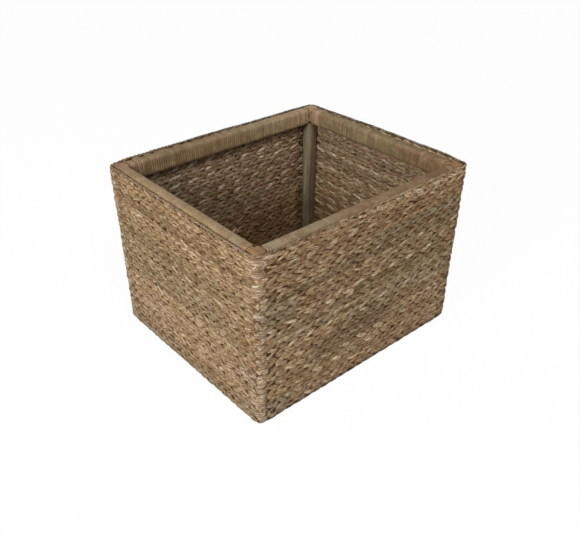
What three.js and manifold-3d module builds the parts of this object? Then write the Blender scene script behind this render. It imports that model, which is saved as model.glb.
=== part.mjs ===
import * as THREE from 'three';
import { mergeVertices } from 'three/addons/utils/BufferGeometryUtils.js';
import Module from 'manifold-3d';

// Woven planter basket.
// A box frame of posts and rails carries twined courses of water hyacinth outside it,
// the top rails are wound in rattan peel, and a woven mat on slats makes the floor.
// Millimetres, +Z up. The origin is on the resting surface, under the middle of the basket.
// The front is the -Y side. Rails that run along Y are the left (-X) and right (+X) ones.

// Overall size
const WIDTH = 437;
const DEPTH = 372;
const HEIGHT = 300;
const CORNER_RADIUS = 10;

// Weave: the courses of the wall, packed tighter towards the top, then the closing row and its border cord
const WEAVE_THICKNESS = 5;
const COURSE_COUNT = 18;
const LOWEST_TO_TOP_COURSE = 1.3;
const COURSE_SHOULDER_DEPTH = 1.4;
const CLOSING_ROW_HEIGHT = 7.6;
const BORDER_THICKNESS = 4;
const BORDER_HEIGHT = 3.6;
const BORDER_SHOULDER_DEPTH = 1;
const BORDER_DROP = 1.1;
const BORDER_OVERLAP = 1.5;
const SHOULDER_SHARE = 0.24;

// The lowest course turns in under the frame
const TUCK_WIDTH = 12;
const TUCK_RADIUS = 9;

// Frame: the square timber of the posts and base rails, and the cores of the top rails
const TIMBER_SIDE = 20;
const TIMBER_ARRIS = 2.5;
const RAIL_WIDTH = 16;
const RAIL_HEIGHT = 27.4;
const RAIL_CHAMFER = 4;

// Floor: slats let into the front and back base rails, and the mat on top of them
const SLAT_COUNT = 3;
const SLAT_WIDTH = 30;
const SLAT_THICKNESS = 8;
const SLAT_BEARING = 12;
const MAT_THICKNESS = 6;

// Rattan peel: the strip wound round each top rail, and the binding over each rail corner
const PEEL_THICKNESS = 1;
const PEEL_WIDTH = 14.6;
const PEEL_LEAST_GAP = 0.6;
const PEEL_END_RUN = 1;

// Pegs
const PEG_DIAMETER = 5;
const PEG_SIDES = 12;
const PEG_DEPTH_IN_POST_TOP = 24;
const PEG_DEPTH_IN_TOP_RAIL = 22;
const PEG_DEPTH_IN_POST_SIDE = 12;
const PEG_DEPTH_IN_BASE_RAIL = 16;
const PEG_SINK = 1;
const PEG_WALL = 1.4;
const BASE_PEG_SPREAD = 7;

// Clearances: pieces that touch lie SEAT apart, and a peg has SEAT all round in its hole
const SEAT = 0.3;
const CUT_MARGIN = 5;
const WELD = 1e-4;
const ARC_POINTS = 2;
const ROUND_STEPS = 3;

// Sizes that follow
const HALF_WIDTH = WIDTH / 2;
const HALF_DEPTH = DEPTH / 2;
const FRAME_HALF_X = HALF_WIDTH - WEAVE_THICKNESS - SEAT;
const FRAME_HALF_Y = HALF_DEPTH - WEAVE_THICKNESS - SEAT;
const FRAME_CORNER = CORNER_RADIUS - WEAVE_THICKNESS - SEAT;
const FRAME_BOTTOM = WEAVE_THICKNESS + SEAT;
const PEEL_BUILD = SEAT + PEEL_THICKNESS;
const RAIL_MIDDLE_Z = HEIGHT - PEEL_BUILD - RAIL_HEIGHT / 2;
const RAIL_UNDERSIDE = RAIL_MIDDLE_Z - RAIL_HEIGHT / 2;
const RAIL_TOP = RAIL_MIDDLE_Z + RAIL_HEIGHT / 2;
const RAIL_INSET = PEEL_BUILD + RAIL_WIDTH / 2;
const SIDE_RAIL_X = FRAME_HALF_X - RAIL_INSET;
const END_RAIL_Y = FRAME_HALF_Y - RAIL_INSET;
const SIDE_RAIL_LENGTH = 2 * (FRAME_HALF_Y - PEEL_BUILD);
const END_RAIL_LENGTH = 2 * (SIDE_RAIL_X - RAIL_WIDTH / 2 - SEAT);
const POST_TOP = RAIL_UNDERSIDE - SEAT;
const POST_X = FRAME_HALF_X - TIMBER_SIDE / 2;
const POST_Y = FRAME_HALF_Y - TIMBER_SIDE / 2;
const BETWEEN_POSTS_X = 2 * (FRAME_HALF_X - TIMBER_SIDE - SEAT);
const BETWEEN_POSTS_Y = 2 * (FRAME_HALF_Y - TIMBER_SIDE - SEAT);
const BASE_TOP = FRAME_BOTTOM + TIMBER_SIDE;
const BORDER_TOP = HEIGHT - BORDER_DROP;
const BORDER_BOTTOM = BORDER_TOP - BORDER_HEIGHT;
const CLOSING_ROW_BOTTOM = BORDER_BOTTOM - CLOSING_ROW_HEIGHT;
const TUCK_ARC = (Math.PI / 2) * (TUCK_RADIUS - WEAVE_THICKNESS / 2);
const TUCK_RUN = TUCK_ARC + WEAVE_THICKNESS + TUCK_WIDTH - 2 * TUCK_RADIUS;
const MEAN_PITCH = (CLOSING_ROW_BOTTOM + TUCK_RUN) / COURSE_COUNT;
const TOP_PITCH = (2 * MEAN_PITCH) / (1 + LOWEST_TO_TOP_COURSE);
const LOWEST_PITCH = TOP_PITCH * LOWEST_TO_TOP_COURSE;
const PEG_RADIUS = PEG_DIAMETER / 2;
const HOLE_RADIUS = PEG_RADIUS + SEAT;

const wasm = await Module();
wasm.setup();

// Materials: one per finish, cloned for each piece
const FINISHES = {
  post: { color: 0x6b5d4a, roughness: 0.75, metalness: 0 },
  core: { color: 0x8a7150, roughness: 0.8, metalness: 0 },
  base: { color: 0x7d6a4f, roughness: 0.8, metalness: 0 },
  peg: { color: 0xa88a5e, roughness: 0.7, metalness: 0 },
  peel: { color: 0x94805c, roughness: 0.5, metalness: 0 },
  binding: { color: 0x986f45, roughness: 0.55, metalness: 0 },
  hyacinth: { color: 0x9a7f5e, roughness: 0.85, metalness: 0 },
  border: { color: 0xa58c68, roughness: 0.85, metalness: 0 },
  mat: { color: 0x8c7353, roughness: 0.9, metalness: 0 },
};

const basket = new THREE.Group();

// Add one named mesh to the basket
function place(name, geometry, finish, x = 0, y = 0, z = 0) {
  const mesh = new THREE.Mesh(geometry, new THREE.MeshStandardMaterial(FINISHES[finish]));
  mesh.name = name;
  mesh.position.set(x, y, z);
  basket.add(mesh);
}

// Turn a closed geometry into a solid that can be cut and joined
function toSolid(geometry) {
  const bare = geometry.clone();
  bare.deleteAttribute('normal');
  bare.deleteAttribute('uv');
  const welded = mergeVertices(bare, WELD);
  return new wasm.Manifold(new wasm.Mesh({
    numProp: 3,
    vertProperties: new Float32Array(welded.attributes.position.array),
    triVerts: new Uint32Array(welded.index.array),
  }));
}

// Turn a solid back into a geometry
function toGeometry(solid) {
  const mesh = solid.getMesh();
  const geometry = new THREE.BufferGeometry();
  geometry.setAttribute('position', new THREE.BufferAttribute(new Float32Array(mesh.vertProperties), 3));
  geometry.setIndex(new THREE.BufferAttribute(new Uint32Array(mesh.triVerts), 1));
  geometry.computeVertexNormals();
  return geometry;
}

// Outline of a rectangle with round corners, about the origin
function roundedOutline(OutlineClass, width, depth, radius) {
  const x = width / 2 - radius;
  const y = depth / 2 - radius;
  const outline = new OutlineClass();
  outline.absarc(x, y, radius, 0, Math.PI / 2);
  outline.absarc(-x, y, radius, Math.PI / 2, Math.PI);
  outline.absarc(-x, -y, radius, Math.PI, 1.5 * Math.PI);
  outline.absarc(x, -y, radius, 1.5 * Math.PI, 2 * Math.PI);
  outline.closePath();
  return outline;
}

// Upright prism of a rounded rectangle that stands on bottom
function roundedPrism(width, depth, radius, bottom, top) {
  const shape = roundedOutline(THREE.Shape, width, depth, radius);
  const options = { depth: top - bottom, bevelEnabled: false, curveSegments: ARC_POINTS };
  return new THREE.ExtrudeGeometry(shape, options).translate(0, 0, bottom);
}

// Box given by its lowest and highest corners
function boxBetween(low, high) {
  const size = high.map((value, axis) => value - low[axis]);
  const middle = high.map((value, axis) => (value + low[axis]) / 2);
  return new THREE.BoxGeometry(...size).translate(...middle);
}

// Cylinder along an axis, from start to end, through the point that the other two coordinates give
function rodAlong(axis, radius, start, end, through) {
  const rod = new THREE.CylinderGeometry(radius, radius, end - start, PEG_SIDES);
  if (axis === 0) rod.rotateZ(-Math.PI / 2);
  if (axis === 2) rod.rotateX(Math.PI / 2);
  const middle = [...through];
  middle[axis] = (start + end) / 2;
  return rod.translate(...middle);
}

// Everything inside a rectangle that lies an inset inside the frame's outline
function insideFrame(inset, bottom = -CUT_MARGIN, top = HEIGHT + CUT_MARGIN) {
  return toSolid(roundedPrism(
    2 * (FRAME_HALF_X - inset), 2 * (FRAME_HALF_Y - inset), FRAME_CORNER - inset, bottom, top,
  ));
}

// A band of the wall between two heights, with sloping shoulders above and below
function wallBand(outerInset, thickness, shoulderDepth, bottom, top) {
  const innerInset = outerInset + thickness;
  const shape = roundedOutline(
    THREE.Shape, WIDTH - 2 * outerInset, DEPTH - 2 * outerInset, CORNER_RADIUS - outerInset,
  );
  shape.holes.push(roundedOutline(
    THREE.Path, WIDTH - 2 * innerInset, DEPTH - 2 * innerInset, CORNER_RADIUS - innerInset,
  ));
  const shoulderHeight = (top - bottom) * SHOULDER_SHARE;
  return new THREE.ExtrudeGeometry(shape, {
    depth: top - bottom - 2 * shoulderHeight,
    bevelEnabled: true,
    bevelThickness: shoulderHeight,
    bevelSize: shoulderDepth,
    bevelOffset: -shoulderDepth,
    bevelSegments: 1,
    curveSegments: ARC_POINTS,
  }).translate(0, 0, bottom + shoulderHeight);
}

// Lower edge of a course, counted from the lowest, as a height up the wall.
// The lowest course starts below zero, by the length that lies turned in under the frame.
function courseBottom(course) {
  const shrink = (LOWEST_PITCH - TOP_PITCH) / (COURSE_COUNT - 1);
  return course * LOWEST_PITCH - (shrink * course * (course - 1)) / 2 - TUCK_RUN;
}

// One course of twined rows
function weaveCourse(course) {
  const top = courseBottom(course + 1) - SEAT;
  return wallBand(0, WEAVE_THICKNESS, COURSE_SHOULDER_DEPTH, courseBottom(course), top);
}

// The lowest course turns in under the frame, with a round lower edge
function tuckedCourse() {
  const foot = roundedPrism(WIDTH, DEPTH, CORNER_RADIUS, 0, WEAVE_THICKNESS);
  const footInset = WEAVE_THICKNESS + TUCK_WIDTH;
  const footOpening = boxBetween(
    [footInset - HALF_WIDTH, footInset - HALF_DEPTH, -CUT_MARGIN],
    [HALF_WIDTH - footInset, HALF_DEPTH - footInset, WEAVE_THICKNESS + CUT_MARGIN],
  );
  const roundedBlock = new THREE.ExtrudeGeometry(
    roundedOutline(THREE.Shape, WIDTH, DEPTH, CORNER_RADIUS),
    {
      depth: LOWEST_PITCH,
      bevelEnabled: true,
      bevelThickness: TUCK_RADIUS,
      bevelSize: TUCK_RADIUS,
      bevelOffset: -TUCK_RADIUS,
      bevelSegments: ROUND_STEPS,
      curveSegments: ARC_POINTS,
    },
  ).translate(0, 0, TUCK_RADIUS);
  return toGeometry(
    toSolid(weaveCourse(0))
      .add(toSolid(foot))
      .subtract(toSolid(footOpening))
      .intersect(toSolid(roundedBlock)),
  );
}

// The closing row, with the border cord along its top
function closingBorder() {
  const cordInset = (WEAVE_THICKNESS - BORDER_THICKNESS) / 2;
  const row = wallBand(
    0, WEAVE_THICKNESS, COURSE_SHOULDER_DEPTH, CLOSING_ROW_BOTTOM, BORDER_BOTTOM,
  );
  const cord = wallBand(
    cordInset, BORDER_THICKNESS, BORDER_SHOULDER_DEPTH, BORDER_BOTTOM - BORDER_OVERLAP, BORDER_TOP,
  );
  return toGeometry(toSolid(row).add(toSolid(cord)));
}

// Weave: the courses from the bottom up, then the border
function addWeave() {
  place('weave_course_01', tuckedCourse(), 'hyacinth');
  for (let course = 1; course < COURSE_COUNT; course += 1) {
    const number = String(course + 1).padStart(2, '0');
    place(`weave_course_${number}`, weaveCourse(course), 'hyacinth');
  }
  place('weave_border', closingBorder(), 'border');
}

// The four corners, with the signs of their X and Y
const CORNERS = [
  { name: 'front_left', signX: -1, signY: -1 },
  { name: 'front_right', signX: 1, signY: -1 },
  { name: 'back_left', signX: -1, signY: 1 },
  { name: 'back_right', signX: 1, signY: 1 },
];

// Peg places in the front left corner's terms: distances from the outside of the frame
const CROSS_PEG_INSET = RAIL_INSET;
const DOWN_PEG_INSET = CROSS_PEG_INSET + 2 * HOLE_RADIUS + PEG_WALL;
const BASE_PEG_X_Z = FRAME_BOTTOM + (TIMBER_SIDE - BASE_PEG_SPREAD) / 2;
const BASE_PEG_Y_Z = BASE_PEG_X_Z + BASE_PEG_SPREAD;

// Rod for a peg or its hole: it lies along an axis, from one distance to another from the outside of the
// frame (or between two heights), at the given place on the other two axes
function cornerRod(corner, axis, radius, near, far, at) {
  const halves = [FRAME_HALF_X, FRAME_HALF_Y];
  const signs = [corner.signX, corner.signY];
  const through = [0, 1].map((k) => signs[k] * (halves[k] - at[k]));
  through.push(at[2]);
  if (axis === 2) return rodAlong(2, radius, near, far, through);
  const a = signs[axis] * (halves[axis] - near);
  const b = signs[axis] * (halves[axis] - far);
  return rodAlong(axis, radius, Math.min(a, b), Math.max(a, b), through);
}

// The four kinds of peg at a corner, each as a function that adds extra length and radius for its hole
const END_RAIL_END_INSET = PEEL_BUILD + RAIL_WIDTH + SEAT;
const PEG_KINDS = {
  // down through the side rail into the top of the post
  down: (corner, grow, open) => cornerRod(
    corner, 2, PEG_RADIUS + grow,
    POST_TOP - PEG_DEPTH_IN_POST_TOP - grow, RAIL_TOP - PEG_SINK + open,
    [RAIL_INSET, DOWN_PEG_INSET, 0],
  ),
  // across through the side rail into the end of the front or back rail
  cross: (corner, grow, open) => cornerRod(
    corner, 0, PEG_RADIUS + grow,
    PEEL_BUILD + PEG_SINK - open, END_RAIL_END_INSET + PEG_DEPTH_IN_TOP_RAIL + grow,
    [0, CROSS_PEG_INSET, RAIL_MIDDLE_Z],
  ),
  // from the post into the front or back base rail
  base_x: (corner, grow) => cornerRod(
    corner, 0, PEG_RADIUS + grow,
    TIMBER_SIDE - PEG_DEPTH_IN_POST_SIDE - grow, TIMBER_SIDE + SEAT + PEG_DEPTH_IN_BASE_RAIL + grow,
    [0, TIMBER_SIDE / 2, BASE_PEG_X_Z],
  ),
  // from the post into the left or right base rail
  base_y: (corner, grow) => cornerRod(
    corner, 1, PEG_RADIUS + grow,
    TIMBER_SIDE - PEG_DEPTH_IN_POST_SIDE - grow, TIMBER_SIDE + SEAT + PEG_DEPTH_IN_BASE_RAIL + grow,
    [TIMBER_SIDE / 2, 0, BASE_PEG_Y_Z],
  ),
};

// Hole for one kind of peg
function pegHole(kind, corner) {
  return toSolid(PEG_KINDS[kind](corner, SEAT, CUT_MARGIN));
}

function addPegs() {
  for (const corner of CORNERS) {
    for (const kind of Object.keys(PEG_KINDS)) {
      place(`peg_${kind}_${corner.name}`, PEG_KINDS[kind](corner, 0, 0), 'peg');
    }
  }
}

// Corner posts, with their outer arris rounded to the inside of the weave
function addPosts() {
  for (const corner of CORNERS) {
    const blank = roundedPrism(TIMBER_SIDE, TIMBER_SIDE, TIMBER_ARRIS, FRAME_BOTTOM, POST_TOP)
      .translate(corner.signX * POST_X, corner.signY * POST_Y, 0);
    const post = toSolid(blank)
      .intersect(insideFrame(0))
      .subtract(pegHole('down', corner))
      .subtract(pegHole('base_x', corner))
      .subtract(pegHole('base_y', corner));
    place(`post_${corner.name}`, toGeometry(post), 'post');
  }
}

// Section of a top rail, grown by an offset: across by height, with chamfered arrises
function railSection(offset) {
  const halfWidth = RAIL_WIDTH / 2 + offset;
  const halfHeight = RAIL_HEIGHT / 2 + offset;
  const flatWidth = RAIL_WIDTH / 2 - RAIL_CHAMFER + offset * Math.tan(Math.PI / 8);
  const flatHeight = RAIL_HEIGHT / 2 - RAIL_CHAMFER + offset * Math.tan(Math.PI / 8);
  return [
    [flatWidth, -halfHeight],
    [halfWidth, -flatHeight],
    [halfWidth, flatHeight],
    [flatWidth, halfHeight],
    [-flatWidth, halfHeight],
    [-halfWidth, flatHeight],
    [-halfWidth, -flatHeight],
    [-flatWidth, -halfHeight],
  ].map(([across, up]) => new THREE.Vector2(across, up));
}

// Turn a bar that was made along Z, with its section in X and Y, to lie along X or Y
function layAlong(geometry, axis) {
  geometry.rotateX(Math.PI / 2);
  if (axis === 0) geometry.rotateZ(Math.PI / 2);
  return geometry;
}

// Core of a top rail, centred on the origin
function railCore(axis, length) {
  const shape = new THREE.Shape(railSection(0));
  const bar = new THREE.ExtrudeGeometry(shape, { depth: length, bevelEnabled: false });
  return layAlong(bar.translate(0, 0, -length / 2), axis);
}

// Left and right rails run the full depth over the posts. Front and back rails butt between them.
function addTopRails() {
  for (const [name, sign] of [['left', -1], ['right', 1]]) {
    const blank = railCore(1, SIDE_RAIL_LENGTH).translate(sign * SIDE_RAIL_X, 0, RAIL_MIDDLE_Z);
    let rail = toSolid(blank).intersect(insideFrame(PEEL_BUILD));
    for (const corner of CORNERS.filter((one) => one.signX === sign)) {
      rail = rail.subtract(pegHole('down', corner)).subtract(pegHole('cross', corner));
    }
    place(`top_rail_${name}`, toGeometry(rail), 'core');
  }
  for (const [name, sign] of [['front', -1], ['back', 1]]) {
    const blank = railCore(0, END_RAIL_LENGTH).translate(0, sign * END_RAIL_Y, RAIL_MIDDLE_Z);
    let rail = toSolid(blank);
    for (const corner of CORNERS.filter((one) => one.signY === sign)) {
      rail = rail.subtract(pegHole('cross', corner));
    }
    place(`top_rail_${name}`, toGeometry(rail), 'core');
  }
}

// Stops along the wound strip: section edge, place along that edge, and distance gone round
function windingStops(turns) {
  const section = railSection(SEAT);
  const lengths = section.map((point, k) => point.distanceTo(section[(k + 1) % section.length]));
  const lastEdge = section.length - 1;
  const perimeter = lengths.reduce((sum, length) => sum + length, 0);
  const half = lengths[lastEdge] / 2;
  const stopOnUnderside = (gone, along) => ({ edge: lastEdge, share: along / lengths[lastEdge], gone });
  const stops = [stopOnUnderside(0, half), stopOnUnderside(PEEL_END_RUN, half + PEEL_END_RUN)];
  let gone = half;
  for (let step = 0; step < turns * section.length; step += 1) {
    const edge = step % section.length;
    stops.push({ edge, share: 0, gone });
    gone += lengths[edge];
  }
  const whole = turns * perimeter;
  stops.push(stopOnUnderside(whole - PEEL_END_RUN, half - PEEL_END_RUN));
  stops.push(stopOnUnderside(whole, half));
  return stops;
}

// A strip of peel wound round a rail core of the given length, as one unbroken flat tube.
// It starts and ends under the rail and advances steadily, apart from a short square run at each end.
function winding(axis, length) {
  const turns = Math.floor((length - PEEL_WIDTH) / (PEEL_WIDTH + PEEL_LEAST_GAP));
  const inner = railSection(SEAT);
  const outer = railSection(SEAT + PEEL_THICKNESS);
  const stops = windingStops(turns);
  const whole = stops[stops.length - 1].gone;
  const advance = length - PEEL_WIDTH;
  const rings = stops.map(({ edge, share, gone }) => {
    const next = (edge + 1) % inner.length;
    const under = inner[edge].clone().lerp(inner[next], share);
    const over = outer[edge].clone().lerp(outer[next], share);
    const wound = THREE.MathUtils.clamp((gone - PEEL_END_RUN) / (whole - 2 * PEEL_END_RUN), 0, 1);
    const middle = wound * advance - advance / 2;
    const low = middle - PEEL_WIDTH / 2;
    const high = middle + PEEL_WIDTH / 2;
    return [[under, low], [over, low], [over, high], [under, high]]
      .map(([point, along]) => new THREE.Vector3(point.x, point.y, along));
  });
  reportLeastGap(axis, turns, rings);
  return layAlong(tubeOfRings(rings), axis);
}

// A closed tube through rings of as many points each, with flat ends
function tubeOfRings(rings) {
  const sides = rings[0].length;
  const positions = rings.flat().flatMap((point) => point.toArray());
  const faces = [];
  for (let ring = 0; ring + 1 < rings.length; ring += 1) {
    for (let side = 0; side < sides; side += 1) {
      const a = ring * sides + side;
      const b = ring * sides + ((side + 1) % sides);
      faces.push(a, b + sides, b, a, a + sides, b + sides);
    }
  }
  const last = (rings.length - 1) * sides;
  for (let side = 1; side + 1 < sides; side += 1) {
    faces.push(0, side, side + 1);
    faces.push(last, last + side + 1, last + side);
  }
  const geometry = new THREE.BufferGeometry();
  geometry.setAttribute('position', new THREE.Float32BufferAttribute(positions, 3));
  geometry.setIndex(faces);
  geometry.computeVertexNormals();
  return geometry;
}

// Measure the least gap between neighbouring turns, on points along their facing edges, and print it
function reportLeastGap(axis, turns, rings) {
  const samplesPerStep = 8;
  const leading = [];
  const trailing = [];
  for (let ring = 0; ring + 1 < rings.length; ring += 1) {
    for (let sample = 0; sample < samplesPerStep; sample += 1) {
      const share = sample / samplesPerStep;
      trailing.push(rings[ring][0].clone().lerp(rings[ring + 1][0], share));
      leading.push(rings[ring][3].clone().lerp(rings[ring + 1][3], share));
    }
  }
  let least = Infinity;
  const halfTurn = railSection(0).length / 2 * samplesPerStep;
  for (let k = 0; k < leading.length; k += 1) {
    for (let m = k + halfTurn; m < Math.min(k + 3 * halfTurn, trailing.length); m += 1) {
      least = Math.min(least, leading[k].distanceTo(trailing[m]));
    }
  }
  const direction = axis === 0 ? 'X' : 'Y';
  console.log(`winding along ${direction}: ${turns} turns, least gap to itself ${least.toFixed(2)} mm`);
}

function addWindings() {
  for (const [name, sign] of [['left', -1], ['right', 1]]) {
    const strip = winding(1, BETWEEN_POSTS_Y);
    place(`rail_winding_${name}`, strip, 'peel', sign * SIDE_RAIL_X, 0, RAIL_MIDDLE_Z);
  }
  for (const [name, sign] of [['front', -1], ['back', 1]]) {
    const strip = winding(0, BETWEEN_POSTS_X);
    place(`rail_winding_${name}`, strip, 'peel', 0, sign * END_RAIL_Y, RAIL_MIDDLE_Z);
  }
}

// Peel binding over each rail corner: a flat top with a skirt down the two outer sides
function addBindings() {
  const blockX = FRAME_HALF_X - TIMBER_SIDE;
  const blockY = FRAME_HALF_Y - TIMBER_SIDE;
  for (const corner of CORNERS) {
    const span = (half, start, sign) => (sign > 0 ? [start, half] : [-half, -start]);
    const [lowX, highX] = span(FRAME_HALF_X, blockX, corner.signX);
    const [lowY, highY] = span(FRAME_HALF_Y, blockY, corner.signY);
    const bottom = RAIL_UNDERSIDE + RAIL_HEIGHT / 2;
    const binding = toSolid(boxBetween([lowX, lowY, bottom], [highX, highY, HEIGHT]))
      .intersect(insideFrame(0))
      .subtract(insideFrame(PEEL_THICKNESS, bottom - CUT_MARGIN, HEIGHT - PEEL_THICKNESS));
    place(`corner_binding_${corner.name}`, toGeometry(binding), 'binding');
  }
}

// Slats are spread evenly between the posts
function slatMiddle(index) {
  const step = BETWEEN_POSTS_X / (SLAT_COUNT + 1);
  return (index + 1) * step - BETWEEN_POSTS_X / 2;
}

// A bar with rounded long arrises, along X or Y, centred on the origin
function baseBar(axis, length) {
  const shape = roundedOutline(THREE.Shape, TIMBER_SIDE, TIMBER_SIDE, TIMBER_ARRIS);
  const bar = new THREE.ExtrudeGeometry(shape, { depth: length, bevelEnabled: false, curveSegments: 1 });
  return layAlong(bar.translate(0, 0, -length / 2), axis);
}

function addBase() {
  const middleZ = FRAME_BOTTOM + TIMBER_SIDE / 2;
  const innerFaceY = FRAME_HALF_Y - TIMBER_SIDE;
  for (const [name, sign] of [['left', -1], ['right', 1]]) {
    let rail = toSolid(baseBar(1, BETWEEN_POSTS_Y).translate(sign * POST_X, 0, middleZ));
    for (const corner of CORNERS.filter((one) => one.signX === sign)) {
      rail = rail.subtract(pegHole('base_y', corner));
    }
    place(`base_rail_${name}`, toGeometry(rail), 'base');
  }
  for (const [name, sign] of [['front', -1], ['back', 1]]) {
    let rail = toSolid(baseBar(0, BETWEEN_POSTS_X).translate(0, sign * POST_Y, middleZ));
    for (const corner of CORNERS.filter((one) => one.signY === sign)) {
      rail = rail.subtract(pegHole('base_x', corner));
    }
    for (let index = 0; index < SLAT_COUNT; index += 1) {
      const halfHousing = SLAT_WIDTH / 2 + SEAT;
      const deep = sign * (innerFaceY + SLAT_BEARING);
      const open = sign * (innerFaceY - CUT_MARGIN);
      const housing = boxBetween(
        [slatMiddle(index) - halfHousing, Math.min(deep, open), BASE_TOP - SLAT_THICKNESS - SEAT],
        [slatMiddle(index) + halfHousing, Math.max(deep, open), BASE_TOP + CUT_MARGIN],
      );
      rail = rail.subtract(toSolid(housing));
    }
    place(`base_rail_${name}`, toGeometry(rail), 'base');
  }
  const slatHalfLength = innerFaceY + SLAT_BEARING - SEAT;
  for (let index = 0; index < SLAT_COUNT; index += 1) {
    const slat = new THREE.BoxGeometry(SLAT_WIDTH, 2 * slatHalfLength, SLAT_THICKNESS);
    place(`base_slat_${index + 1}`, slat, 'base', slatMiddle(index), 0, BASE_TOP - SLAT_THICKNESS / 2);
  }
}

// Floor mat: it fills the basket wall to wall and is notched round the posts
function addMat() {
  const notchX = BETWEEN_POSTS_X / 2;
  const notchY = BETWEEN_POSTS_Y / 2;
  const outline = [
    [notchX, FRAME_HALF_Y], [-notchX, FRAME_HALF_Y], [-notchX, notchY], [-FRAME_HALF_X, notchY],
    [-FRAME_HALF_X, -notchY], [-notchX, -notchY], [-notchX, -FRAME_HALF_Y], [notchX, -FRAME_HALF_Y],
    [notchX, -notchY], [FRAME_HALF_X, -notchY], [FRAME_HALF_X, notchY], [notchX, notchY],
  ].map(([x, y]) => new THREE.Vector2(x, y));
  const options = { depth: MAT_THICKNESS, bevelEnabled: false };
  const mat = new THREE.ExtrudeGeometry(new THREE.Shape(outline), options);
  place('base_mat', mat, 'mat', 0, 0, BASE_TOP + SEAT);
}

addPosts();
addTopRails();
addPegs();
addBase();
addMat();
addWindings();
addBindings();
addWeave();

export default basket;
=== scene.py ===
"""Looks of the woven planter basket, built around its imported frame. Metres, +Z up, front at -Y."""

import math

import bmesh
import bpy
import numpy as np
from mathutils import Matrix, Vector


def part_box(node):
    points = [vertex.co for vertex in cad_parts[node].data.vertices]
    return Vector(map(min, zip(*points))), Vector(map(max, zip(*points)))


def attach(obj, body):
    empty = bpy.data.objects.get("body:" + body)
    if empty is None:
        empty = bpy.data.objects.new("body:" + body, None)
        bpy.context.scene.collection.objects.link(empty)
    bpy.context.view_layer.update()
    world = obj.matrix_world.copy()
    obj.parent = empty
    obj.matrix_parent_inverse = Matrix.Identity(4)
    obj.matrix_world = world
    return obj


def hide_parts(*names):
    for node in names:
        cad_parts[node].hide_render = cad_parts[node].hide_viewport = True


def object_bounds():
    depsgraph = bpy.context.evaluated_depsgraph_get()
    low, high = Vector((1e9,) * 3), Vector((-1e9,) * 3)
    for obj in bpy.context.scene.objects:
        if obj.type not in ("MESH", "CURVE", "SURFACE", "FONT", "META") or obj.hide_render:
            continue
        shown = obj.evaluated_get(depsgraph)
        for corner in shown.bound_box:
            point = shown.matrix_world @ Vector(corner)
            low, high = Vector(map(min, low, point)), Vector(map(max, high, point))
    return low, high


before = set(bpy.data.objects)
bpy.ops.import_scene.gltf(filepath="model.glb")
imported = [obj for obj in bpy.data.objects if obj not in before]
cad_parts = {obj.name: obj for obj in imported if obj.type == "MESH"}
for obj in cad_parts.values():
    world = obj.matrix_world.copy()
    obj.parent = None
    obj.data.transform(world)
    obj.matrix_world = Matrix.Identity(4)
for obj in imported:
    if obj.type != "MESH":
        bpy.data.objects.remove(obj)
cad_low, cad_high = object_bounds()
scene = bpy.context.scene
MM = 0.001


def placed(name, data):
    """A new object in the scene."""
    made = bpy.data.objects.new(name, data)
    scene.collection.objects.link(made)
    return made


# Camera at the photograph's viewing angle
PHOTO_WIDTH = 580
FOCAL_IN_PIXELS = 700.0
SENSOR_WIDTH = 36.0
CAMERA_PLACE = Vector((-673.11, -772.29, 764.44)) * MM
CAMERA_RIGHT = Vector((0.75405, -0.65680, 0.00462)).normalized()
CAMERA_AHEAD = Vector((0.55432, 0.63259, -0.54088)).normalized()

lens = bpy.data.cameras.new("photo_camera")
lens.sensor_width = SENSOR_WIDTH
lens.lens = FOCAL_IN_PIXELS / PHOTO_WIDTH * SENSOR_WIDTH
lens.clip_start, lens.clip_end = 0.05, 60.0
scene.camera = placed("photo_camera", lens)
camera_up = CAMERA_RIGHT.cross(CAMERA_AHEAD)
turn = Matrix((CAMERA_RIGHT, camera_up, -CAMERA_AHEAD)).transposed()
scene.camera.matrix_world = Matrix.Translation(CAMERA_PLACE) @ turn.to_4x4()

# Sizes of the weave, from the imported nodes
COURSES = sorted(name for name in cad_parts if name.startswith("weave_course_"))
WALL = 5.0 * MM
HALF_X = cad_high.x - WALL / 2
HALF_Y = cad_high.y - WALL / 2
CORNER = 7.5 * MM
BEND_HEIGHT = 9.0 * MM
BEND_RADIUS = 6.5 * MM
TURNED_IN = 9.21 * MM
LEAST_RADIUS = 0.6 * MM
FOOT_CORNER = 22 * MM
FOOT_REACH = 14 * MM
FOOT_FALLOFF = 1.5
FOOT_DRAWN, FOOT_LIFT = 1.5 * MM, 2.6 * MM
LEAN_HEIGHTS = np.array((10.0, 70.0, 130.0, 210.0, 300.0)) * MM
LEAN = np.array((-2.3, -2.3, -1.5, -0.2, 1.4)) * MM

# Stakes: how many each side has, front, right, back, left, and how much their spacing grows along it
STAKES = (22, 20, 22, 20)
SPACING_GROWTH = (0.08, 0.0, 0.0, 0.0)
FIRST_STITCH = 0.27
STAKE_COUNT = sum(STAKES)
ARC = CORNER * math.pi / 2
STRAIGHTS = np.array([HALF_X, HALF_Y, HALF_X, HALF_Y]) - CORNER
SIDE_LENGTHS = 2 * STRAIGHTS + ARC
SIDE_STARTS = np.concatenate(([0.0], np.cumsum(SIDE_LENGTHS)))
STAKE_STARTS = np.concatenate(([0], np.cumsum(STAKES)))
ROUND_LENGTH = SIDE_STARTS[-1]
SIDE_ALONG = np.array([(1, 0), (0, 1), (-1, 0), (0, -1)], float)
SIDE_OUT = np.array([(0, -1), (1, 0), (0, 1), (-1, 0)], float)


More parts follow.
